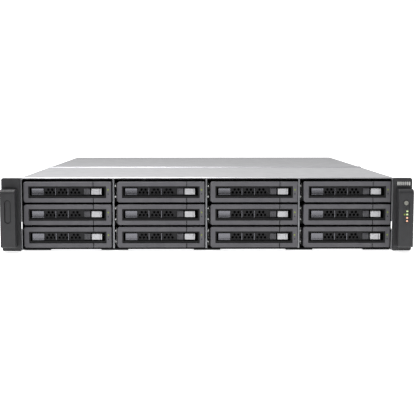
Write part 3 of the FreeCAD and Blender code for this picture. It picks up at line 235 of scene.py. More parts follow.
# Painted shade: the dark ring at the edge of the left ear's inset.
RIM_SHADE_ABS = moulded_abs("inset_rim_painted_shade", "#141415", "#1b1b1c", 0.65, gloss=0.3)
EAR_ABS = moulded_abs("ear_cover_moulded_abs", "#242426", "#2a2a2c", 0.38, 0.9, 0.03, gloss=0.4)
LEVER_NYLON = moulded_abs("lever_glass_filled_nylon", "#151517", "#1d1d20", 0.4, gloss=0.25)
GRIP_NYLON = moulded_abs("grip_moulded_nylon", "#4a4a4e", "#57565b", 0.45)
PLATE_PAINT = silver_paint("lever_plate_silver_lacquer", "#606065", "#6c6c71", 0.24, 1.0)
RELEASE_PAINT = silver_paint("release_button_silver_lacquer", "#b4b4b7", "#cacacc", 0.36)
COVER_STEEL = galvanised_steel("cover_galvanised_steel", "#b2b2b5", "#c5c5c7", 0.36)
# Painted highlight: a lighter steel for the forward faces of the covers' folded edges, for the light they
# catch.
LIP_HIGHLIGHT_STEEL = galvanised_steel("folded_lip_painted_highlight_steel", "#dadadc", "#e8e8ea", 0.48)
# A darker steel than the front cover's, its colour fading further towards the back: painted shade where the
# reflection dims.
REAR_STEEL_FADED = galvanised_steel("rear_cover_galvanised_steel_painted_fade", "#9d9da0", "#aeaeb1", 0.36,
                              painted_fade=(0.25, -0.04, 0.27))
CASE_STEEL = galvanised_steel("case_galvanised_steel", "#a5a6a9", "#b9babc", 0.34, (1, 0.06, 1))
SHEET_STEEL = galvanised_steel("bracket_galvanised_steel", "#a9aaad", "#bdbec0", 0.32, (1, 1, 0.08))
# A dimmer steel than the brackets', for the cage's leading edges.
DIM_EDGE_STEEL = galvanised_steel("dim_edge_galvanised_steel", "#808184", "#919295", 0.36, (1, 1, 0.08))
# Painted shade: the tray carrier drawn dead black so that the lever's holes read as the dark inside the bay.
CARRIER_SHADE_BLACK = dark_coat("carrier_painted_shade_black")
BLACK_PBT = moulded_abs("black_moulded_pbt", "#121213", "#1a1a1b", 0.4)
# Painted shade: the cage, the case's sill and its insides are steel, drawn black for the dark inside the bays.
CAGE_SHADE_BLACK = dark_coat("cage_painted_shade_black")
LATCH_NYLON = moulded_abs("latch_green_nylon", "#1f6b3c", "#287a47", 0.4)
BUTTON_PBT = moulded_abs("power_button_moulded_pbt", "#77776f", "#888880", 0.35)
MARK_PAINT = moulded_abs("printed_mark", "#c7c7c4", "#d6d6d3", 0.5)
LAMINATE = solder_mask("solder_mask_on_copper")
# The drive body's own black coat, made darker still as painted shade so that the lever's holes read black.
DRIVE_COAT_AND_SHADE = dark_coat("drive_body_black_coat_and_painted_shade", "#0d0d0e", "#171718", 0.5)
DRIVE_CAST = bright_metal("die_cast_aluminium", "#8c8d90", "#a2a3a5", 0.42, 2.5)
DRIVE_LID = bright_metal("stamped_stainless_lid", "#a8a9ab", "#c0c1c3", 0.28, 0.8, (0.1, 1, 1))
TINPLATE = bright_metal("tin_plated_port_shell", "#a8a9a8", "#c4c5c4", 0.25, 1.2)
FIN_ALUMINIUM = bright_metal("skived_aluminium", "#b4b5b7", "#c6c7c9", 0.35, 1.5, (1, 0.1, 1))
SPRING_STEEL = bright_metal("nickel_plated_spring", "#b3b3b1", "#cfcfcc", 0.25, 0.7)
ZINC = bright_metal("zinc_plated_screw", "#a2a3a6", "#c0c1c2", 0.24, 0.6)
GREEN_LENS = lamp_lens("lit_green_light_pipe", "#6f7d24", "#7d8b30", "#8fa024", 0.12)
DIM_LENS = lamp_lens("unlit_light_pipe", "#2c2b33", "#35343d", "#000000", 0.0)
PALE_LENS = lamp_lens("lit_pale_green_lens", "#a8b48c", "#b9c59c", "#c4e08a", 0.55)
AMBER_LENS = lamp_lens("lit_amber_lens", "#c79a80", "#d8ab90", "#ffb48c", 0.6)


# ---- Mesh helpers --------------------------------------------------------------------------------
CREASE, EDGE = 60.0, 32.0        # least angles of a crease in the shading and of a rounded edge, in degrees
TOUCH = 0.01 * MM                # places closer than this are one place


def link(name, mesh, finishes):
    made = bpy.data.objects.new(name, mesh)
    bpy.context.scene.collection.objects.link(made)
    for finish in finishes:
        mesh.materials.append(finish)
    return made


def bake(piece):
    """Turns a piece's modifiers into plain mesh."""
    graph = bpy.context.evaluated_depsgraph_get()
    graph.update()
    mesh = bpy.data.meshes.new_from_object(
        piece.evaluated_get(graph), preserve_all_data_layers=True, depsgraph=graph)
    old = piece.data
    piece.modifiers.clear()
    piece.data = mesh
    bpy.data.meshes.remove(old)
    mesh.name = piece.name
    return piece


def soften(piece, radius, segments=2):
    """Rounds the edges a little, as any real moulding or pressing has them, and keeps the flats flat."""
    mesh = piece.data
    mesh.shade_smooth()
    mesh.set_sharp_from_angle(angle=math.radians(CREASE))
    if radius:
        bevel = piece.modifiers.new("round", "BEVEL")
        bevel.width, bevel.segments, bevel.limit_method = radius, segments, "ANGLE"
        bevel.angle_limit, bevel.use_clamp_overlap = math.radians(EDGE), True
        bevel.miter_outer = "MITER_ARC"
    flat = piece.modifiers.new("flat", "WEIGHTED_NORMAL")
    flat.keep_sharp, flat.weight = True, 80
    return bake(piece)


def solids(node):
    """The solids of a CAD node in order, each as (points, faces), from a merged copy of its mesh.

    A node's triangles come solid by solid, so touching solids part where the face numbers jump."""
    work = bmesh.new()
    work.from_mesh(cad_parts[node].data)
    bmesh.ops.remove_doubles(work, verts=work.verts, dist=1e-6)
    work.faces.index_update()
    seen, found = set(), []
    for start in work.faces:
        if start.index in seen:
            continue
        seen.add(start.index)
        stack, members = [start], []
        while stack:
            here = stack.pop()
            members.append(here)
            for other in {f for v in here.verts for f in v.link_faces}:
                if other.index not in seen:
                    seen.add(other.index)
                    stack.append(other)
        members.sort(key=lambda f: f.index)
        runs = [[members[0]]]
        for face in members[1:]:
            if face.index > runs[-1][-1].index + 1:
                runs.append([])
            runs[-1].append(face)
        found += runs
    found.sort(key=lambda run: run[0].index)
    made = []
    for run in found:
        order = {v: i for i, v in enumerate(dict.fromkeys(v for f in run for v in f.verts))}
        made.append(([v.co.copy() for v in order], [[order[v] for v in f.verts] for f in run]))
    work.free()
    return made


def span(points):
    """Lowest and highest corner of some points."""
    low = Vector([min(p[i] for p in points) for i in range(3)])
    high = Vector([max(p[i] for p in points) for i in range(3)])
    return low, high


def copy_solids(name, chosen, finishes, radius=0.0, segments=2, paint=None, roll=None, merge=True):
    """One piece from CAD solids, given as (solid, finish number) pairs, with flats merged and edges softened.

    paint(centre, normal, number) gives a face another finish. roll is (test of an edge's middle and run,
    radius, steps) for a wide fold. Unmerged, the flats keep their triangles, which suits a sheet with many
    holes."""
    work = bmesh.new()
    for (points, faces), number in chosen:
        made = [work.verts.new(p) for p in points]
        for face in faces:
            work.faces.new([made[i] for i in face]).material_index = number
    if paint:
        work.normal_update()
        for face in work.faces:
            face.material_index = paint(face.calc_center_median(), face.normal, face.material_index)
    if merge:
        bmesh.ops.dissolve_limit(work, angle_limit=math.radians(0.5), verts=work.verts, edges=work.edges,
                                 delimit={"MATERIAL"})
    if roll:
        test, fold, steps = roll
        folded = [e for e in work.edges
                  if test((e.verts[0].co + e.verts[1].co) / 2, e.verts[0].co - e.verts[1].co)]
        bmesh.ops.bevel(work, geom=folded, offset=fold, segments=steps, profile=0.5, affect="EDGES")
    return finish_mesh(name, work, finishes, radius, segments)


def stand_in(name, node, body, finishes, pick=None, radius=0.0, segments=2, paint=None, roll=None,
             merge=True):
    """Replaces a CAD node by softened copies of its solids, whose finishes pick(number, low, high) gives."""
    chosen = []
    for number, solid in enumerate(solids(node)):
        chosen.append((solid, pick(number, *span(solid[0])) if pick else 0))
    piece = copy_solids(name, chosen, finishes, radius, segments, paint, roll, merge)
    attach(piece, body)
    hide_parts(node)
    return piece


def boxed(work, low, high):
    """Adds a closed box to a bmesh."""
    low, high = Vector(low), Vector(high)
    for v in bmesh.ops.create_cube(work, size=1.0)["verts"]:
        v.co = Vector([low[i] + (v.co[i] + 0.5) * (high[i] - low[i]) for i in range(3)])


def rodded(work, centre, radius, length, axis, sides=24, top=None):
    """Adds a closed rod, or a cone with a top radius, from a point along an axis."""
    turn = Vector((0, 0, 1)).rotation_difference(Vector(axis).normalized()).to_matrix().to_4x4()
    move = Matrix.Translation(Vector(centre)) @ turn @ Matrix.Translation((0, 0, length / 2))
    bmesh.ops.create_cone(work, cap_ends=True, segments=sides, radius1=radius,
                          radius2=radius if top is None else top, depth=length, matrix=move)


def prism(work, outline, low, high, axis=0):
    """Adds a closed prism to a bmesh: an outline on the two other axes, run from low to high on the axis."""
    others = [i for i in range(3) if i != axis]

    def at(level, pair):
        point = [0.0, 0.0, 0.0]
        point[axis], point[others[0]], point[others[1]] = level, pair[0], pair[1]
        return work.verts.new(point)

    first = [at(low, p) for p in outline]
    second = [at(high, p) for p in outline]
    faces = [work.faces.new(first), work.faces.new(second)]
    count = len(outline)
    faces += [work.faces.new([first[i], first[(i + 1) % count], second[(i + 1) % count], second[i]])
              for i in range(count)]
    bmesh.ops.recalc_face_normals(work, faces=faces)


def arc(centre, radius, start, stop, steps):
    """Points along an arc, in degrees, ends included."""
    turns = [math.radians(start + (stop - start) * k / steps) for k in range(steps + 1)]
    return [(centre[0] + radius * math.cos(t), centre[1] + radius * math.sin(t)) for t in turns]


def plain_mesh(name, work):
    """A bmesh, used up, as a mesh."""
    mesh = bpy.data.meshes.new(name)
    work.to_mesh(mesh)
    work.free()
    return mesh


def finish_mesh(name, work, finishes, radius=0.0, segments=2):
    return soften(link(name, plain_mesh(name, work), finishes), radius, segments)


def moved_copy(piece, name, shift):
    """The same mesh at another place, its place in the mesh."""
    mesh = piece.data.copy()
    mesh.transform(Matrix.Translation(shift))
    mesh.name = name
    made = bpy.data.objects.new(name, mesh)
    bpy.context.scene.collection.objects.link(made)
    return made


# ---- Geometry Nodes ------------------------------------------------------------------------------
def new_tree(name, sizes):
    """An empty tree with a geometry input, named size inputs and a geometry output."""
    tree = bpy.data.node_groups.new(name, "GeometryNodeTree")
    tree.interface.new_socket("Geometry", in_out="INPUT", socket_type="NodeSocketGeometry")
    for label, kind in sizes.items():
        tree.interface.new_socket(label, in_out="INPUT", socket_type=kind)
    tree.interface.new_socket("Geometry", in_out="OUTPUT", socket_type="NodeSocketGeometry")
    return tree, add(tree, "NodeGroupInput"), add(tree, "NodeGroupOutput")


def grown(name, tree, base, values):
    """The mesh that a tree grows from a base mesh with the given sizes."""
    holder = bpy.data.objects.new(name, base)
    bpy.context.scene.collection.objects.link(holder)
    modifier = holder.modifiers.new("grow", "NODES")
    modifier.node_group = tree
    for item in tree.interface.items_tree:
        if item.in_out == "INPUT" and item.name in values:
            modifier[item.identifier] = values[item.name]
    return bake(holder)


def ended(tree, out, geometry, finish):
    """Realize Instances and Set Material, into the output."""
    real = add(tree, "GeometryNodeRealizeInstances", inputs={"Geometry": geometry})
    painted = add(tree, "GeometryNodeSetMaterial", inputs={"Geometry": real.outputs[0], "Material": finish})
    tree.links.new(painted.outputs[0], out.inputs["Geometry"])


def staggered_points(tree, source, trimmed=False):
    """A grid of points on X and Y, about the origin, whose every other row is shifted half a pitch.

    Trimmed, the shifted rows have one point less."""
    grid = add(tree, "GeometryNodeMeshGrid", inputs={
        "Vertices X": source.outputs["Columns"], "Vertices Y": source.outputs["Rows"]})
    less_x = add(tree, "ShaderNodeMath", {"operation": "SUBTRACT"}, {0: source.outputs["Columns"], 1: 1.0})
    less_y = add(tree, "ShaderNodeMath", {"operation": "SUBTRACT"}, {0: source.outputs["Rows"], 1: 1.0})
    wide = add(tree, "ShaderNodeMath", {"operation": "MULTIPLY"}, {
        0: less_x.outputs[0], 1: source.outputs["Pitch"]})
    tall = add(tree, "ShaderNodeMath", {"operation": "MULTIPLY"}, {
        0: less_y.outputs[0], 1: source.outputs["Row pitch"]})
    tree.links.new(wide.outputs[0], grid.inputs["Size X"])
    tree.links.new(tall.outputs[0], grid.inputs["Size Y"])
    index = add(tree, "GeometryNodeInputIndex")
    row = add(tree, "ShaderNodeMath", {"operation": "MODULO"}, {
        0: index.outputs[0], 1: source.outputs["Rows"]})
    odd = add(tree, "ShaderNodeMath", {"operation": "MODULO"}, {0: row.outputs[0], 1: 2.0})
    signed = add(tree, "ShaderNodeMath", {"operation": "MULTIPLY_ADD"}, {0: odd.outputs[0], 1: 0.5, 2: -0.25})
    shift = add(tree, "ShaderNodeMath", {"operation": "MULTIPLY"}, {
        0: signed.outputs[0], 1: source.outputs["Pitch"]})
    offset = add(tree, "ShaderNodeCombineXYZ", inputs={"X": shift.outputs[0]})
    points = add(tree, "GeometryNodeSetPosition", inputs={
        "Geometry": grid.outputs["Mesh"], "Offset": offset.outputs[0]})
    if not trimmed:
        return points.outputs["Geometry"]
    before_last = add(tree, "ShaderNodeMath", {"operation": "MULTIPLY"}, {
        0: less_x.outputs[0], 1: source.outputs["Rows"]})
    last = add(tree, "ShaderNodeMath", {"operation": "GREATER_THAN"}, {
        0: index.outputs[0], 1: before_last.outputs[0]})
    surplus = add(tree, "ShaderNodeMath", {"operation": "MULTIPLY"}, {0: last.outputs[0], 1: odd.outputs[0]})
    return add(tree, "GeometryNodeDeleteGeometry", inputs={
        "Geometry": points.outputs["Geometry"], "Selection": surplus.outputs[0]}).outputs["Geometry"]


def perforated_sheet_tree(name, finish):
    """A sheet on X and Y, filled within the base's outline round evenly spaced fields of staggered hexagon
    holes, then given its thickness along Z."""
    tree, source, out = new_tree(name, {
        "Columns": "NodeSocketInt", "Rows": "NodeSocketInt", "Pitch": "NodeSocketFloat",
        "Row pitch": "NodeSocketFloat", "Hole radius": "NodeSocketFloat", "Thickness": "NodeSocketFloat",
        "Fields": "NodeSocketInt", "Field pitch": "NodeSocketFloat", "Middle": "NodeSocketVector"})
    outline = add(tree, "GeometryNodeMeshToCurve", inputs={"Mesh": source.outputs["Geometry"]})
    hexagon = add(tree, "GeometryNodeCurvePrimitiveCircle", inputs={
        "Resolution": 6, "Radius": source.outputs["Hole radius"]})
    upright = add(tree, "GeometryNodeTransform", inputs={
        "Geometry": hexagon.outputs["Curve"], "Rotation": (0, 0, math.radians(30))})
    field = add(tree, "GeometryNodeInstanceOnPoints", inputs={
        "Points": staggered_points(tree, source, trimmed=True), "Instance": upright.outputs[0]})
    less = add(tree, "ShaderNodeMath", {"operation": "SUBTRACT"}, {0: source.outputs["Fields"], 1: 1.0})
    reach = add(tree, "ShaderNodeMath", {"operation": "MULTIPLY"}, {
        0: less.outputs[0], 1: source.outputs["Field pitch"]})
    start = add(tree, "ShaderNodeMath", {"operation": "MULTIPLY"}, {0: reach.outputs[0], 1: -0.5})
    first = add(tree, "ShaderNodeCombineXYZ", inputs={"X": start.outputs[0]})
    step = add(tree, "ShaderNodeCombineXYZ", inputs={"X": source.outputs["Field pitch"]})
    begin = add(tree, "ShaderNodeVectorMath", {"operation": "ADD"}, {
        0: first.outputs[0], 1: source.outputs["Middle"]})
    middles = add(tree, "GeometryNodeMeshLine", inputs={
        "Count": source.outputs["Fields"], "Start Location": begin.outputs[0], "Offset": step.outputs[0]})
    fields = add(tree, "GeometryNodeInstanceOnPoints", inputs={
        "Points": middles.outputs["Mesh"], "Instance": field.outputs["Instances"]})
    holes = add(tree, "GeometryNodeRealizeInstances", inputs={"Geometry": fields.outputs["Instances"]})
    curves = add(tree, "GeometryNodeJoinGeometry")
    tree.links.new(holes.outputs[0], curves.inputs[0])
    tree.links.new(outline.outputs[0], curves.inputs[0])
    filled = add(tree, "GeometryNodeFillCurve", inputs={"Curve": curves.outputs[0]})
    raised = add(tree, "GeometryNodeExtrudeMesh", inputs={
        "Mesh": filled.outputs[0], "Offset": (0, 0, 1), "Offset Scale": source.outputs["Thickness"],
        "Individual": False})
    under = add(tree, "GeometryNodeFlipFaces", inputs={"Mesh": filled.outputs[0]})
    closed = add(tree, "GeometryNodeJoinGeometry")
    tree.links.new(raised.outputs["Mesh"], closed.inputs[0])
    tree.links.new(under.outputs[0], closed.inputs[0])
    sealed = add(tree, "GeometryNodeMergeByDistance", inputs={
        "Geometry": closed.outputs[0], "Distance": 1e-6})
    ended(tree, out, sealed.outputs[0], finish)
    return tree


def row_tree(name, finish):
    """Copies of the base mesh set out on a staggered grid."""
    tree, source, out = new_tree(name, {
        "Columns": "NodeSocketInt", "Rows": "NodeSocketInt", "Pitch": "NodeSocketFloat",
        "Row pitch": "NodeSocketFloat"})
    placed = add(tree, "GeometryNodeInstanceOnPoints", inputs={
        "Points": staggered_points(tree, source), "Instance": source.outputs["Geometry"]})
    ended(tree, out, placed.outputs["Instances"], finish)
    return tree


def loops(name, outlines):
    """A mesh of closed edge loops on X and Y."""
    mesh = bpy.data.meshes.new(name)
    points, edges = [], []
    for outline in outlines:
        first = len(points)
        points += [(x, y, 0.0) for x, y in outline]
        edges += [(first + i, first + (i + 1) % len(outline)) for i in range(len(outline))]
    mesh.from_pydata(points, edges, [])
    return mesh


def joined(name, pieces):
    """One piece out of several, with their finishes."""
    work = bmesh.new()
    finishes = []
    for piece in pieces:
        numbers = []
        for slot in piece.data.materials:
            if slot not in finishes:
                finishes.append(slot)
            numbers.append(finishes.index(slot))
        before = len(work.faces)
        work.from_mesh(piece.data)
        work.faces.ensure_lookup_table()
        for face in work.faces[before:]:
            face.material_index = numbers[face.material_index] if numbers else 0
        bpy.data.objects.remove(piece)
    return link(name, plain_mesh(name, work), finishes)


# ---- Levers and release buttons, built once and set in each tray ---------------------------------
lever_low, lever_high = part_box("tray_lever_1_1")
release_low, release_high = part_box("tray_release_1_1")
PIN_REACH = 1.3 * MM                      # the pins' ends stand out past the web by this
LEVER_TOP, LEVER_BOTTOM = lever_high.z - PIN_REACH, lever_low.z + PIN_REACH
LEVER_MIDDLE = (LEVER_TOP + LEVER_BOTTOM) / 2
PLATE_LENGTH, PLATE_HALF, PLATE_THICK = 14.2 * MM, 4.2 * MM, 4.2 * MM
DISH_RIM, DISH_SINK = 0.9 * MM, 0.12 * MM  # the plate's flat rims, and how far its hollow face sinks
DISH_HALF = PLATE_HALF - 1.3 * MM
WEB_THICK, WEB_FROM, WEB_CORNER = 1.6 * MM, 1.0 * MM, 0.6 * MM
RIB_WIDTH, RIB_PLACE, RIB_SINK, RIB_INSET = 1.0 * MM, 1.4 * MM, 0.8 * MM, 0.3 * MM
GRIP_LENGTH, GRIP_HALF, GRIP_SINK = 7.3 * MM, 3.6 * MM, 1.4 * MM
GRIP_RIBS, GRIP_RIB_HALF, GRIP_RIB_DEEP, GRIP_RIB_SINK = 4, 0.42 * MM, 0.6 * MM, 1.2 * MM
WEB_ENDS = 3.2 * MM                       # what the three fields of holes leave of the web's length
MODULE_PITCH = (lever_high.x - lever_low.x - PLATE_LENGTH - GRIP_LENGTH - WEB_ENDS) / 3
HOLE_START, HOLE_RISE = 3.0 * MM, 0.4 * MM
HOLE_PITCH, HOLE_ROW_PITCH, HOLE_RADIUS = 4.5 * MM, 3.4 * MM, 2.9 * MM / math.sqrt(3)
PIN_RADIUS, BOSS_RADIUS, BOSS_INSET = 1.5 * MM, 2.4 * MM, 0.2 * MM
RELEASE_THICK, GROOVE_FROM, GROOVE_HALF, GROOVE_DEEP = 5.0 * MM, 1.9 * MM, 0.3 * MM, 0.6 * MM
CATCH_INSET, CATCH_HALF, CATCH_OVERLAP = 2.0 * MM, 2.0 * MM, 0.1 * MM
STUD_RADIUS, STUD_TOP, STUD_HEIGHT, STUD_SINK = 0.42 * MM, 0.24 * MM, 0.28 * MM, 0.04 * MM
STUD_PITCH, STUD_ROW_PITCH, STUD_MIDDLE = 1.35 * MM, 1.25 * MM, 5.1 * MM
PIN_X, PIN_Y = lever_low.x + 2.8 * MM, lever_high.y - 2.5 * MM


def lever_piece():
    """The ejector lever: perforated web, dished plate, two ribs, ribbed grip and pivot pins."""
    web_tree = perforated_sheet_tree("lever_web_perforated", LEVER_NYLON)
    left, right = lever_low.x + WEB_FROM, lever_high.x
    half = (LEVER_TOP - LEVER_BOTTOM) / 2
    rounded = []
    for cx, cy, start in ((right, half, 0), (left, half, 90), (left, -half, 180), (right, -half, 270)):
        inset_x = cx - math.copysign(WEB_CORNER, cx - (left + right) / 2)
        rounded += arc((inset_x, cy - math.copysign(WEB_CORNER, cy)), WEB_CORNER, start, start + 90, 4)
    holes_middle = lever_low.x + PLATE_LENGTH + HOLE_START + 1.25 * HOLE_PITCH + MODULE_PITCH
    web = grown("lever_web", web_tree, loops("lever_outline", [rounded]), {
        "Columns": 3, "Rows": 2, "Pitch": HOLE_PITCH, "Row pitch": HOLE_ROW_PITCH,
        "Hole radius": HOLE_RADIUS, "Thickness": WEB_THICK, "Fields": 3, "Field pitch": MODULE_PITCH,
        "Middle": (holes_middle, HOLE_RISE, 0.0)})
    web.data.transform(Matrix.Translation((0, lever_low.y + PLATE_THICK, LEVER_MIDDLE))
                       @ Matrix.Rotation(math.radians(90), 4, "X"))
    soften(web, 0.18 * MM, 2)

    work = bmesh.new()
    y0, x0 = lever_low.y, lever_low.x
    dish = [(y0 + PLATE_THICK, LEVER_MIDDLE - PLATE_HALF), (y0, LEVER_MIDDLE - PLATE_HALF),
            (y0, LEVER_MIDDLE - PLATE_HALF + DISH_RIM)]
    for turn in range(-75, 76, 15):
        turn = math.radians(turn)
        dish.append((y0 + DISH_SINK * math.cos(turn), LEVER_MIDDLE + DISH_HALF * math.sin(turn)))
    dish += [(y0, LEVER_MIDDLE + PLATE_HALF - DISH_RIM), (y0, LEVER_MIDDLE + PLATE_HALF),
             (y0 + PLATE_THICK, LEVER_MIDDLE + PLATE_HALF)]
    prism(work, dish, x0, x0 + PLATE_LENGTH, axis=0)
    for module in (1, 2):
        x = x0 + PLATE_LENGTH + module * MODULE_PITCH - RIB_PLACE
        boxed(work, (x, y0 + RIB_SINK, LEVER_BOTTOM + RIB_INSET),
              (x + RIB_WIDTH, y0 + PLATE_THICK - WEB_THICK / 2, LEVER_TOP - RIB_INSET))
    plates = finish_mesh("lever_plate", work, [PLATE_PAINT], 0.35 * MM, 3)

    work = bmesh.new()
    x1 = lever_high.x
    boxed(work, (x1 - GRIP_LENGTH, y0 + GRIP_SINK, LEVER_MIDDLE - GRIP_HALF),
          (x1, y0 + PLATE_THICK - WEB_THICK / 2, LEVER_MIDDLE + GRIP_HALF))
    grip = finish_mesh("lever_grip", work, [GRIP_NYLON], 0.3 * MM)
    rib = bmesh.new()
    boxed(rib, (-GRIP_RIB_HALF, -GRIP_RIB_DEEP, -GRIP_HALF), (GRIP_RIB_HALF, GRIP_RIB_DEEP, GRIP_HALF))
    ribs = grown("grip_ribs", row_tree("grip_rib_row", GRIP_NYLON), plain_mesh("grip_rib", rib), {
        "Columns": GRIP_RIBS, "Rows": 1, "Pitch": GRIP_LENGTH / GRIP_RIBS, "Row pitch": 0.0})
    ribs_middle = x1 - GRIP_LENGTH / 2 + GRIP_LENGTH / 16
    ribs.data.transform(Matrix.Translation((ribs_middle, y0 + GRIP_RIB_SINK, LEVER_MIDDLE)))
    soften(ribs, 0.2 * MM, 2)

    work = bmesh.new()
    rodded(work, (PIN_X, PIN_Y, LEVER_BOTTOM + BOSS_INSET), BOSS_RADIUS,
           LEVER_TOP - LEVER_BOTTOM - 2 * BOSS_INSET, (0, 0, 1))
    rodded(work, (PIN_X, PIN_Y, lever_low.z), PIN_RADIUS, lever_high.z - lever_low.z, (0, 0, 1))
    boss = finish_mesh("lever_pin", work, [LEVER_NYLON], 0.15 * MM)
    return joined("lever_source", [web, plates, grip, ribs, boss])


def release_piece():
    """The release button: a face with a groove near its right end, a catch behind and rows of studs."""
    work = bmesh.new()
    low, high = release_low, release_high
    front, back, middle = low.y, low.y + RELEASE_THICK, (low.z + high.z) / 2
    groove_low, groove_high = high.x - GROOVE_FROM - GROOVE_HALF, high.x - GROOVE_FROM + GROOVE_HALF
    outline = [(low.x, front), (groove_low, front), (groove_low, front + GROOVE_DEEP),
               (groove_high, front + GROOVE_DEEP), (groove_high, front),
               (high.x, front), (high.x, back), (low.x, back)]
    prism(work, outline, low.z, high.z, axis=2)
    body = finish_mesh("release_body", work, [RELEASE_PAINT], 0.3 * MM)
    work = bmesh.new()
    boxed(work, (low.x + CATCH_INSET, back - CATCH_OVERLAP, middle - CATCH_HALF),
          (high.x - CATCH_INSET, high.y, middle + CATCH_HALF))
    catch = finish_mesh("release_catch", work, [BLACK_PBT], 0.2 * MM)
    stud = bmesh.new()
    rodded(stud, (0, 0, 0), STUD_RADIUS, STUD_HEIGHT, (0, 0, 1), sides=8, top=STUD_TOP)
    stud_rows = row_tree("release_stud_rows", RELEASE_PAINT)
    studs = grown("release_studs", stud_rows, plain_mesh("release_stud", stud), {
        "Columns": 7, "Rows": 5, "Pitch": STUD_PITCH, "Row pitch": STUD_ROW_PITCH})
    studs.data.transform(Matrix.Translation((low.x + STUD_MIDDLE, front + STUD_SINK, middle))
                         @ Matrix.Rotation(math.radians(90), 4, "X"))
    studs.data.shade_smooth()
    return joined("release_source", [body, catch, studs])


lever_source = lever_piece()
release_source = release_piece()
for c, r in SLOTS:
    tray = f"tray_{c}_{r}"
    lever = moved_copy(lever_source, f"lever_{c}_{r}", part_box(f"tray_lever_{c}_{r}")[0] - lever_low)
    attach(lever, f"tray_lever_{c}_{r}")
    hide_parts(f"tray_lever_{c}_{r}")
    release = moved_copy(release_source, f"release_{c}_{r}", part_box(f"tray_release_{c}_{r}")[0] - release_low)
    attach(release, f"tray_release_{c}_{r}")
    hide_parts(f"tray_release_{c}_{r}")
bpy.data.objects.remove(lever_source)
bpy.data.objects.remove(release_source)

# ---- Trays ---------------------------------------------------------------------------------------
# the order of a tray's solids in the CAD
FACE, PIPES, FRAME_SOLID, DRIVE, SCREWS, STRIP, LINER = 0, (1, 2), 3, 4, (5, 6, 7, 8), 9, 10
FINGER_HEIGHTS = (6.6 * MM, -6.4 * MM)    # above and below the strip's middle
FINGER_RADIUS, FINGER_Y, FINGER_INSET = 1.2 * MM, 0.2 * MM, 0.05 * MM


def face_gap_shade(at, way, now):
    """The face's top and bottom are black behind its front rim: painted shade in the gaps between the trays."""
    return 1 if abs(way.z) > 0.9 and at.y > TRAY_FACE_Y + MM else now


def drive_paint(at, way, now):
    """The drive has a bright lid on top."""
    return 2 if now == 0 and way.z > 0.9 else now


for c, r in SLOTS:
    tray = f"tray_{c}_{r}"
    parts = solids(tray)
    face = copy_solids(f"{tray}_face", [(parts[FACE], 0), (parts[LINER], 1)], [FACE_ABS, LINER_AND_GAP_SHADE_ABS],
                       0.4 * MM, 3, paint=face_gap_shade, merge=False)
    lights = copy_solids(f"{tray}_lights", [(parts[k], i) for i, k in enumerate(PIPES)],
                         [GREEN_LENS, DIM_LENS], 0.2 * MM)
    carrier = copy_solids(f"{tray}_carrier", [(parts[FRAME_SOLID], 0)], [CARRIER_SHADE_BLACK], 0.15 * MM)
    drive = copy_solids(f"{tray}_drive", [(parts[DRIVE], 0)] + [(parts[k], 1) for k in SCREWS],
                        [DRIVE_COAT_AND_SHADE, ZINC, DRIVE_LID], 0.3 * MM, paint=drive_paint)
    springs = copy_solids(f"{tray}_springs", [(parts[STRIP], 0)], [SPRING_STEEL], 0.1 * MM)
    low, high = span(parts[STRIP][0])
    work = bmesh.new()
    for height in FINGER_HEIGHTS:
        rodded(work, (low.x + FINGER_INSET, low.y + FINGER_Y, (low.z + high.z) / 2 + height),
               FINGER_RADIUS, high.x - low.x - 2 * FINGER_INSET, (1, 0, 0), 16)
    fingers = finish_mesh(f"{tray}_fingers", work, [TINPLATE], 0.1 * MM)
    for piece in (face, lights, carrier, drive, springs, fingers):
        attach(piece, tray)
        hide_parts(tray)

# ---- Case ----------------------------------------------------------------------------------------
CASE_FRONT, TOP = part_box("front_top_cover")[0].y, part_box("front_top_cover")[1].z
LIP_FRONT, LIP_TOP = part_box("rear_top_cover")[0].y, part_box("rear_top_cover")[1].z
BAY_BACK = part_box("backplane")[0].y
INSIDE_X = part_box("front_top_cover")[1].x - 1.5 * MM      # further out are the side walls
SILL_FROM = 4.0 * MM                      # what looks forward further out than this is a side wall's edge
HEM_RADIUS, LIP_RADIUS = 1.8 * MM, 0.85 * MM


def base_shade_mask(at, way, now):
    """Steel outside and on the side walls' leading edges. Black on the sill and what faces inwards:
    painted shade under the trays and inside the case.
    """
    if at.y > BAY_BACK:
        return 0
    if way.y < -0.5:
        return 0 if at.y < CASE_FRONT - SILL_FROM else 1
    inward = abs(at.x) < INSIDE_X or at.x * way.x < 0
    return 1 if inward and way.z > -0.5 else 0


def front_lip_highlight(at, way, now):
    """Faces that look forward have the second finish: a painted highlight on the folded edges."""
    return 1 if way.y < -0.5 else 0


def cage_shade_mask(at, way, now):
    """The cage's bare leading edges are steel; the rest of the cage is black, painted shade inside the bays."""
    return 1 if way.y < -0.5 and at.y < CASE_FRONT + 0.5 * MM else 0


def long_fold(y, z):
    """A test for the long edge along X at a place on Y and Z."""
    return lambda at, run: abs(at.y - y) < TOUCH and abs(at.z - z) < TOUCH and abs(run.x) > 0.1


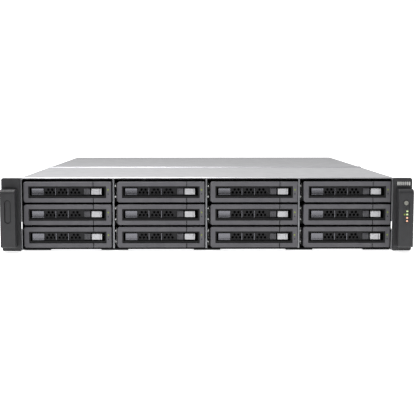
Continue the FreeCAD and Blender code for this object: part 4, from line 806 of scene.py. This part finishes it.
stand_in("case_base", "chassis_base", "chassis", [CASE_STEEL, CAGE_SHADE_BLACK], radius=0.15 * MM,
         paint=base_shade_mask, merge=False)
stand_in("case_back", "rear_panel", "chassis", [SHEET_STEEL], radius=0.12 * MM)
stand_in("cover_front", "front_top_cover", "chassis", [COVER_STEEL, LIP_HIGHLIGHT_STEEL], radius=0.3 * MM, segments=3,
         paint=front_lip_highlight, roll=(long_fold(CASE_FRONT, TOP), HEM_RADIUS, 6))
stand_in("cover_rear", "rear_top_cover", "chassis", [REAR_STEEL_FADED, LIP_HIGHLIGHT_STEEL], radius=0.2 * MM, segments=3,
         paint=front_lip_highlight, roll=(long_fold(LIP_FRONT, LIP_TOP), LIP_RADIUS, 1))
stand_in("bay_cage", "drive_cage", "chassis", [CAGE_SHADE_BLACK, DIM_EDGE_STEEL], radius=0.3 * MM, paint=cage_shade_mask)
stand_in("ear_brackets", "rack_ears", "chassis", [SHEET_STEEL], radius=0.2 * MM)
stand_in("bay_backplane", "backplane", "chassis", [LAMINATE, BLACK_PBT],
         lambda n, low, high: 0 if n == 0 else 1, 0.15 * MM)
stand_in("fans_frame", "fan_wall", "chassis", [SHEET_STEEL, BLACK_PBT],
         lambda n, low, high: 0 if n == 0 else 1, 0.2 * MM)
stand_in("module_bay", "power_bay", "chassis", [SHEET_STEEL, LAMINATE, BLACK_PBT],
         lambda n, low, high: min(n, 2), 0.15 * MM)
for k in (1, 2, 3):
    stand_in(f"rotor_{k}", f"fan_rotor_{k}", f"fan_rotor_{k}", [BLACK_PBT], radius=0.2 * MM)


# places in the CAD's order of solids
MEMORY, CHIP_SINK, LAST_ON_BOARD = range(3, 11), 12, 14
CARD_BOARDS, CARD_SOCKETS, CARD_SINKS, BRACKETS = (4, 7), (5, 8), (6, 9), 4


def board_finish(number, low, high):
    """Board and memory modules, cooler and heat sink, sockets, and the shells of the ports."""
    size = high - low
    if number == 0:
        return 0
    if size.z > 50 * MM and size.x > 80 * MM:
        return 1
    if number in MEMORY:
        return 2 if size.z < 10 * MM else 0
    if size.y < 1.0 * MM:
        return 3
    if number > LAST_ON_BOARD:
        return 3 if size.y > 10 * MM else 2
    return 1 if number == CHIP_SINK else 2


def card_finish(number, low, high):
    """Slot brackets, boards, sockets, heat sinks and transceiver cages."""
    if number < BRACKETS:
        return 0
    return 1 if number in CARD_BOARDS else 2 if number in CARD_SOCKETS else 3 if number in CARD_SINKS else 4


stand_in("main_board", "motherboard", "chassis", [LAMINATE, FIN_ALUMINIUM, BLACK_PBT, TINPLATE],
         board_finish, 0.12 * MM)
stand_in("cards", "expansion_cards", "chassis", [SHEET_STEEL, LAMINATE, BLACK_PBT, FIN_ALUMINIUM, TINPLATE],
         card_finish, 0.12 * MM)
stand_in("screw_set", "screws", "chassis", [ZINC], radius=0.25 * MM)

# ---- Power modules -------------------------------------------------------------------------------
for k in (1, 2):
    body = f"power_module_{k}"
    stand_in(f"module_{k}", body, body, [SHEET_STEEL, BLACK_PBT, LAMINATE, DRIVE_CAST],
             lambda n, low, high: 0 if n == 0 else 1 if n in (1, 2, 3) else 2 if n == 4 else 3, 0.2 * MM)
    stand_in(f"module_latch_{k}", f"power_latch_{k}", f"power_latch_{k}", [LATCH_NYLON], radius=0.3 * MM)
    stand_in(f"module_rotor_{k}", f"power_rotor_{k}", f"power_rotor_{k}", [BLACK_PBT], radius=0.15 * MM)

# ---- Ears ----------------------------------------------------------------------------------------
stand_in("ear_cover_left", "left_ear_cover", "chassis", [EAR_ABS], radius=0.2 * MM)


INSET_X, INSET_Z, INSET_DEEP, INSET_HALF = 9.5 * MM, 49.0 * MM, 1.2 * MM, 10.0 * MM
RING_OUTER, RING_INNER, RING_HEIGHT, RING_SINK = 3.7 * MM, 2.7 * MM, 0.2 * MM, 0.05 * MM
DASH_HALF, DASH_TIP, DASH_THICK, DASH_PITCH = 1.5 * MM, 0.65 * MM, 0.05 * MM, 2.3 * MM
MARK_X, MARK_Y, MARK_Z, MARK_LIFT = 9.4 * MM, 14.0 * MM, 6.4 * MM, 0.02 * MM


def inset_shade_ring():
    """A dark ring round the floor of the left handle block's inset: painted shade at the recess's edge."""
    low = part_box("left_ear_cover")[0]
    x, floor_y = low.x + INSET_X, low.y + INSET_DEEP
    outlines = [arc((x, INSET_Z + INSET_HALF), radius, 0, 180, 12)
                + arc((x, INSET_Z - INSET_HALF), radius, 180, 360, 12) for radius in (RING_OUTER, RING_INNER)]
    work = bmesh.new()
    rows = [[work.verts.new((px, y, pz)) for px, pz in outline]
            for outline in outlines for y in (floor_y - RING_HEIGHT, floor_y + RING_SINK)]
    for first, second in ((0, 1), (1, 3), (3, 2), (2, 0)):
        for i in range(len(rows[0])):
            j = (i + 1) % len(rows[0])
            work.faces.new([rows[first][i], rows[first][j], rows[second][j], rows[second][i]])
    bmesh.ops.recalc_face_normals(work, faces=work.faces)
    shade_ring = finish_mesh("ear_inset_shade_ring", work, [RIM_SHADE_ABS], 0.08 * MM)
    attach(shade_ring, "chassis")


inset_shade_ring()
stand_in("ear_cover_right", "right_ear_cover", "chassis",
         [EAR_ABS, LAMINATE, PALE_LENS, GREEN_LENS, AMBER_LENS],
         lambda n, low, high: (0, 1, 2, 2, 3, 4, 4)[n], 0.2 * MM)


def printed_mark():
    """A plain row of upright dashes, printed near the top of the right ear."""
    low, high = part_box("right_ear_cover")
    dash = bmesh.new()
    outline = arc((0, DASH_HALF), DASH_TIP, 0, 180, 6) + arc((0, -DASH_HALF), DASH_TIP, 180, 360, 6)
    prism(dash, outline, -DASH_THICK, DASH_THICK, axis=1)
    dashes = grown("ear_mark", row_tree("mark_row", MARK_PAINT), plain_mesh("mark_dash", dash), {
        "Columns": 7, "Rows": 1, "Pitch": DASH_PITCH, "Row pitch": 0.0})
    dashes.data.transform(Matrix.Translation(
        (high.x - MARK_X, low.y + MARK_Y - MARK_LIFT, high.z - MARK_Z)))
    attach(dashes, "chassis")


printed_mark()
stand_in("ear_button", "power_button", "power_button", [BUTTON_PBT], radius=0.4 * MM, segments=3)

# ---- Floor, world and lights ---------------------------------------------------------------------
floor_mesh = bpy.data.meshes.new("floor")
FLOOR_FRONT, FLOOR_BACK, FLOOR_HALF, FLOOR_Z = -0.95, 6.0, 3.0, -0.4 * MM
floor_mesh.from_pydata([(-FLOOR_HALF, FLOOR_FRONT, FLOOR_Z), (FLOOR_HALF, FLOOR_FRONT, FLOOR_Z),
                        (FLOOR_HALF, FLOOR_BACK, FLOOR_Z), (-FLOOR_HALF, FLOOR_BACK, FLOOR_Z)],
                       [], [(0, 1, 2, 3)])
floor_finish, _, floor_shader = new_material("white_light_table")
floor_shader.inputs["Base Color"].default_value = linear("#f4f4f4")
floor_shader.inputs["Roughness"].default_value = 0.9
floor_shader.inputs["Emission Color"].default_value = linear("#ffffff")
floor_shader.inputs["Emission Strength"].default_value = 0.75
link("floor", floor_mesh, [floor_finish])

world = bpy.data.worlds.new("studio")
bpy.context.scene.world = world
world.use_nodes = True
sky = world.node_tree
backdrop = sky.nodes["Background"]
direction = add(sky, "ShaderNodeTexCoord").outputs["Generated"]
axes = add(sky, "ShaderNodeSeparateXYZ", inputs={0: direction}).outputs


def product(a, b):
    return add(sky, "ShaderNodeMath", {"operation": "MULTIPLY"}, {0: a, 1: b}).outputs[0]


# a white backdrop low down behind, a dim room on the near side, and a canopy brighter overhead and to the
# left, each as (lowest and highest strength, then where on the axis they are reached)
level = product(ranged(sky, axes["Y"], 0.24, 1.12, -0.1, 0.45), ranged(sky, axes["X"], 1.05, 0.96, -0.3, 0.3))
overhead = product(ranged(sky, axes["Z"], 0.5, 1.35, 0.2, 0.75), ranged(sky, axes["Y"], 0.5, 1.0, -0.6, 0.2))
canopy = product(overhead, ranged(sky, axes["X"], 1.2, 0.6, -0.5, 0.5))
lifted = ranged(sky, axes["Z"], 0.0, 1.0, 0.12, 0.22)
mixed = add(sky, "ShaderNodeMix", {"data_type": "FLOAT"}, {0: lifted, 2: level, 3: canopy})
sky.links.new(mixed.outputs[0], backdrop.inputs["Strength"])
backdrop.inputs["Color"].default_value = (1.0, 1.0, 1.0, 1.0)


def soft_box(name, where, target, size, watts):
    lamp = bpy.data.lights.new(name, "AREA")
    lamp.shape, lamp.size, lamp.size_y, lamp.energy = "RECTANGLE", size[0], size[1], watts
    made = bpy.data.objects.new(name, lamp)
    bpy.context.scene.collection.objects.link(made)
    made.location = where
    made.rotation_euler = (Vector(target) - Vector(where)).to_track_quat("-Z", "Y").to_euler()


# each one's place, target and size in metres, and its power in watts
soft_box("key", (-0.9, -1.0, 2.0), (0, -0.2, 0.05), (1.4, 1.0), 10)
soft_box("strip", (-0.2, -0.15, 1.15), (-0.05, -0.16, 0.05), (1.6, 0.3), 8)
soft_box("fill", (1.4, -1.5, 1.1), (0, -0.2, 0.05), (1.2, 1.0), 2)
bpy.context.scene.view_settings.view_transform = "Standard"
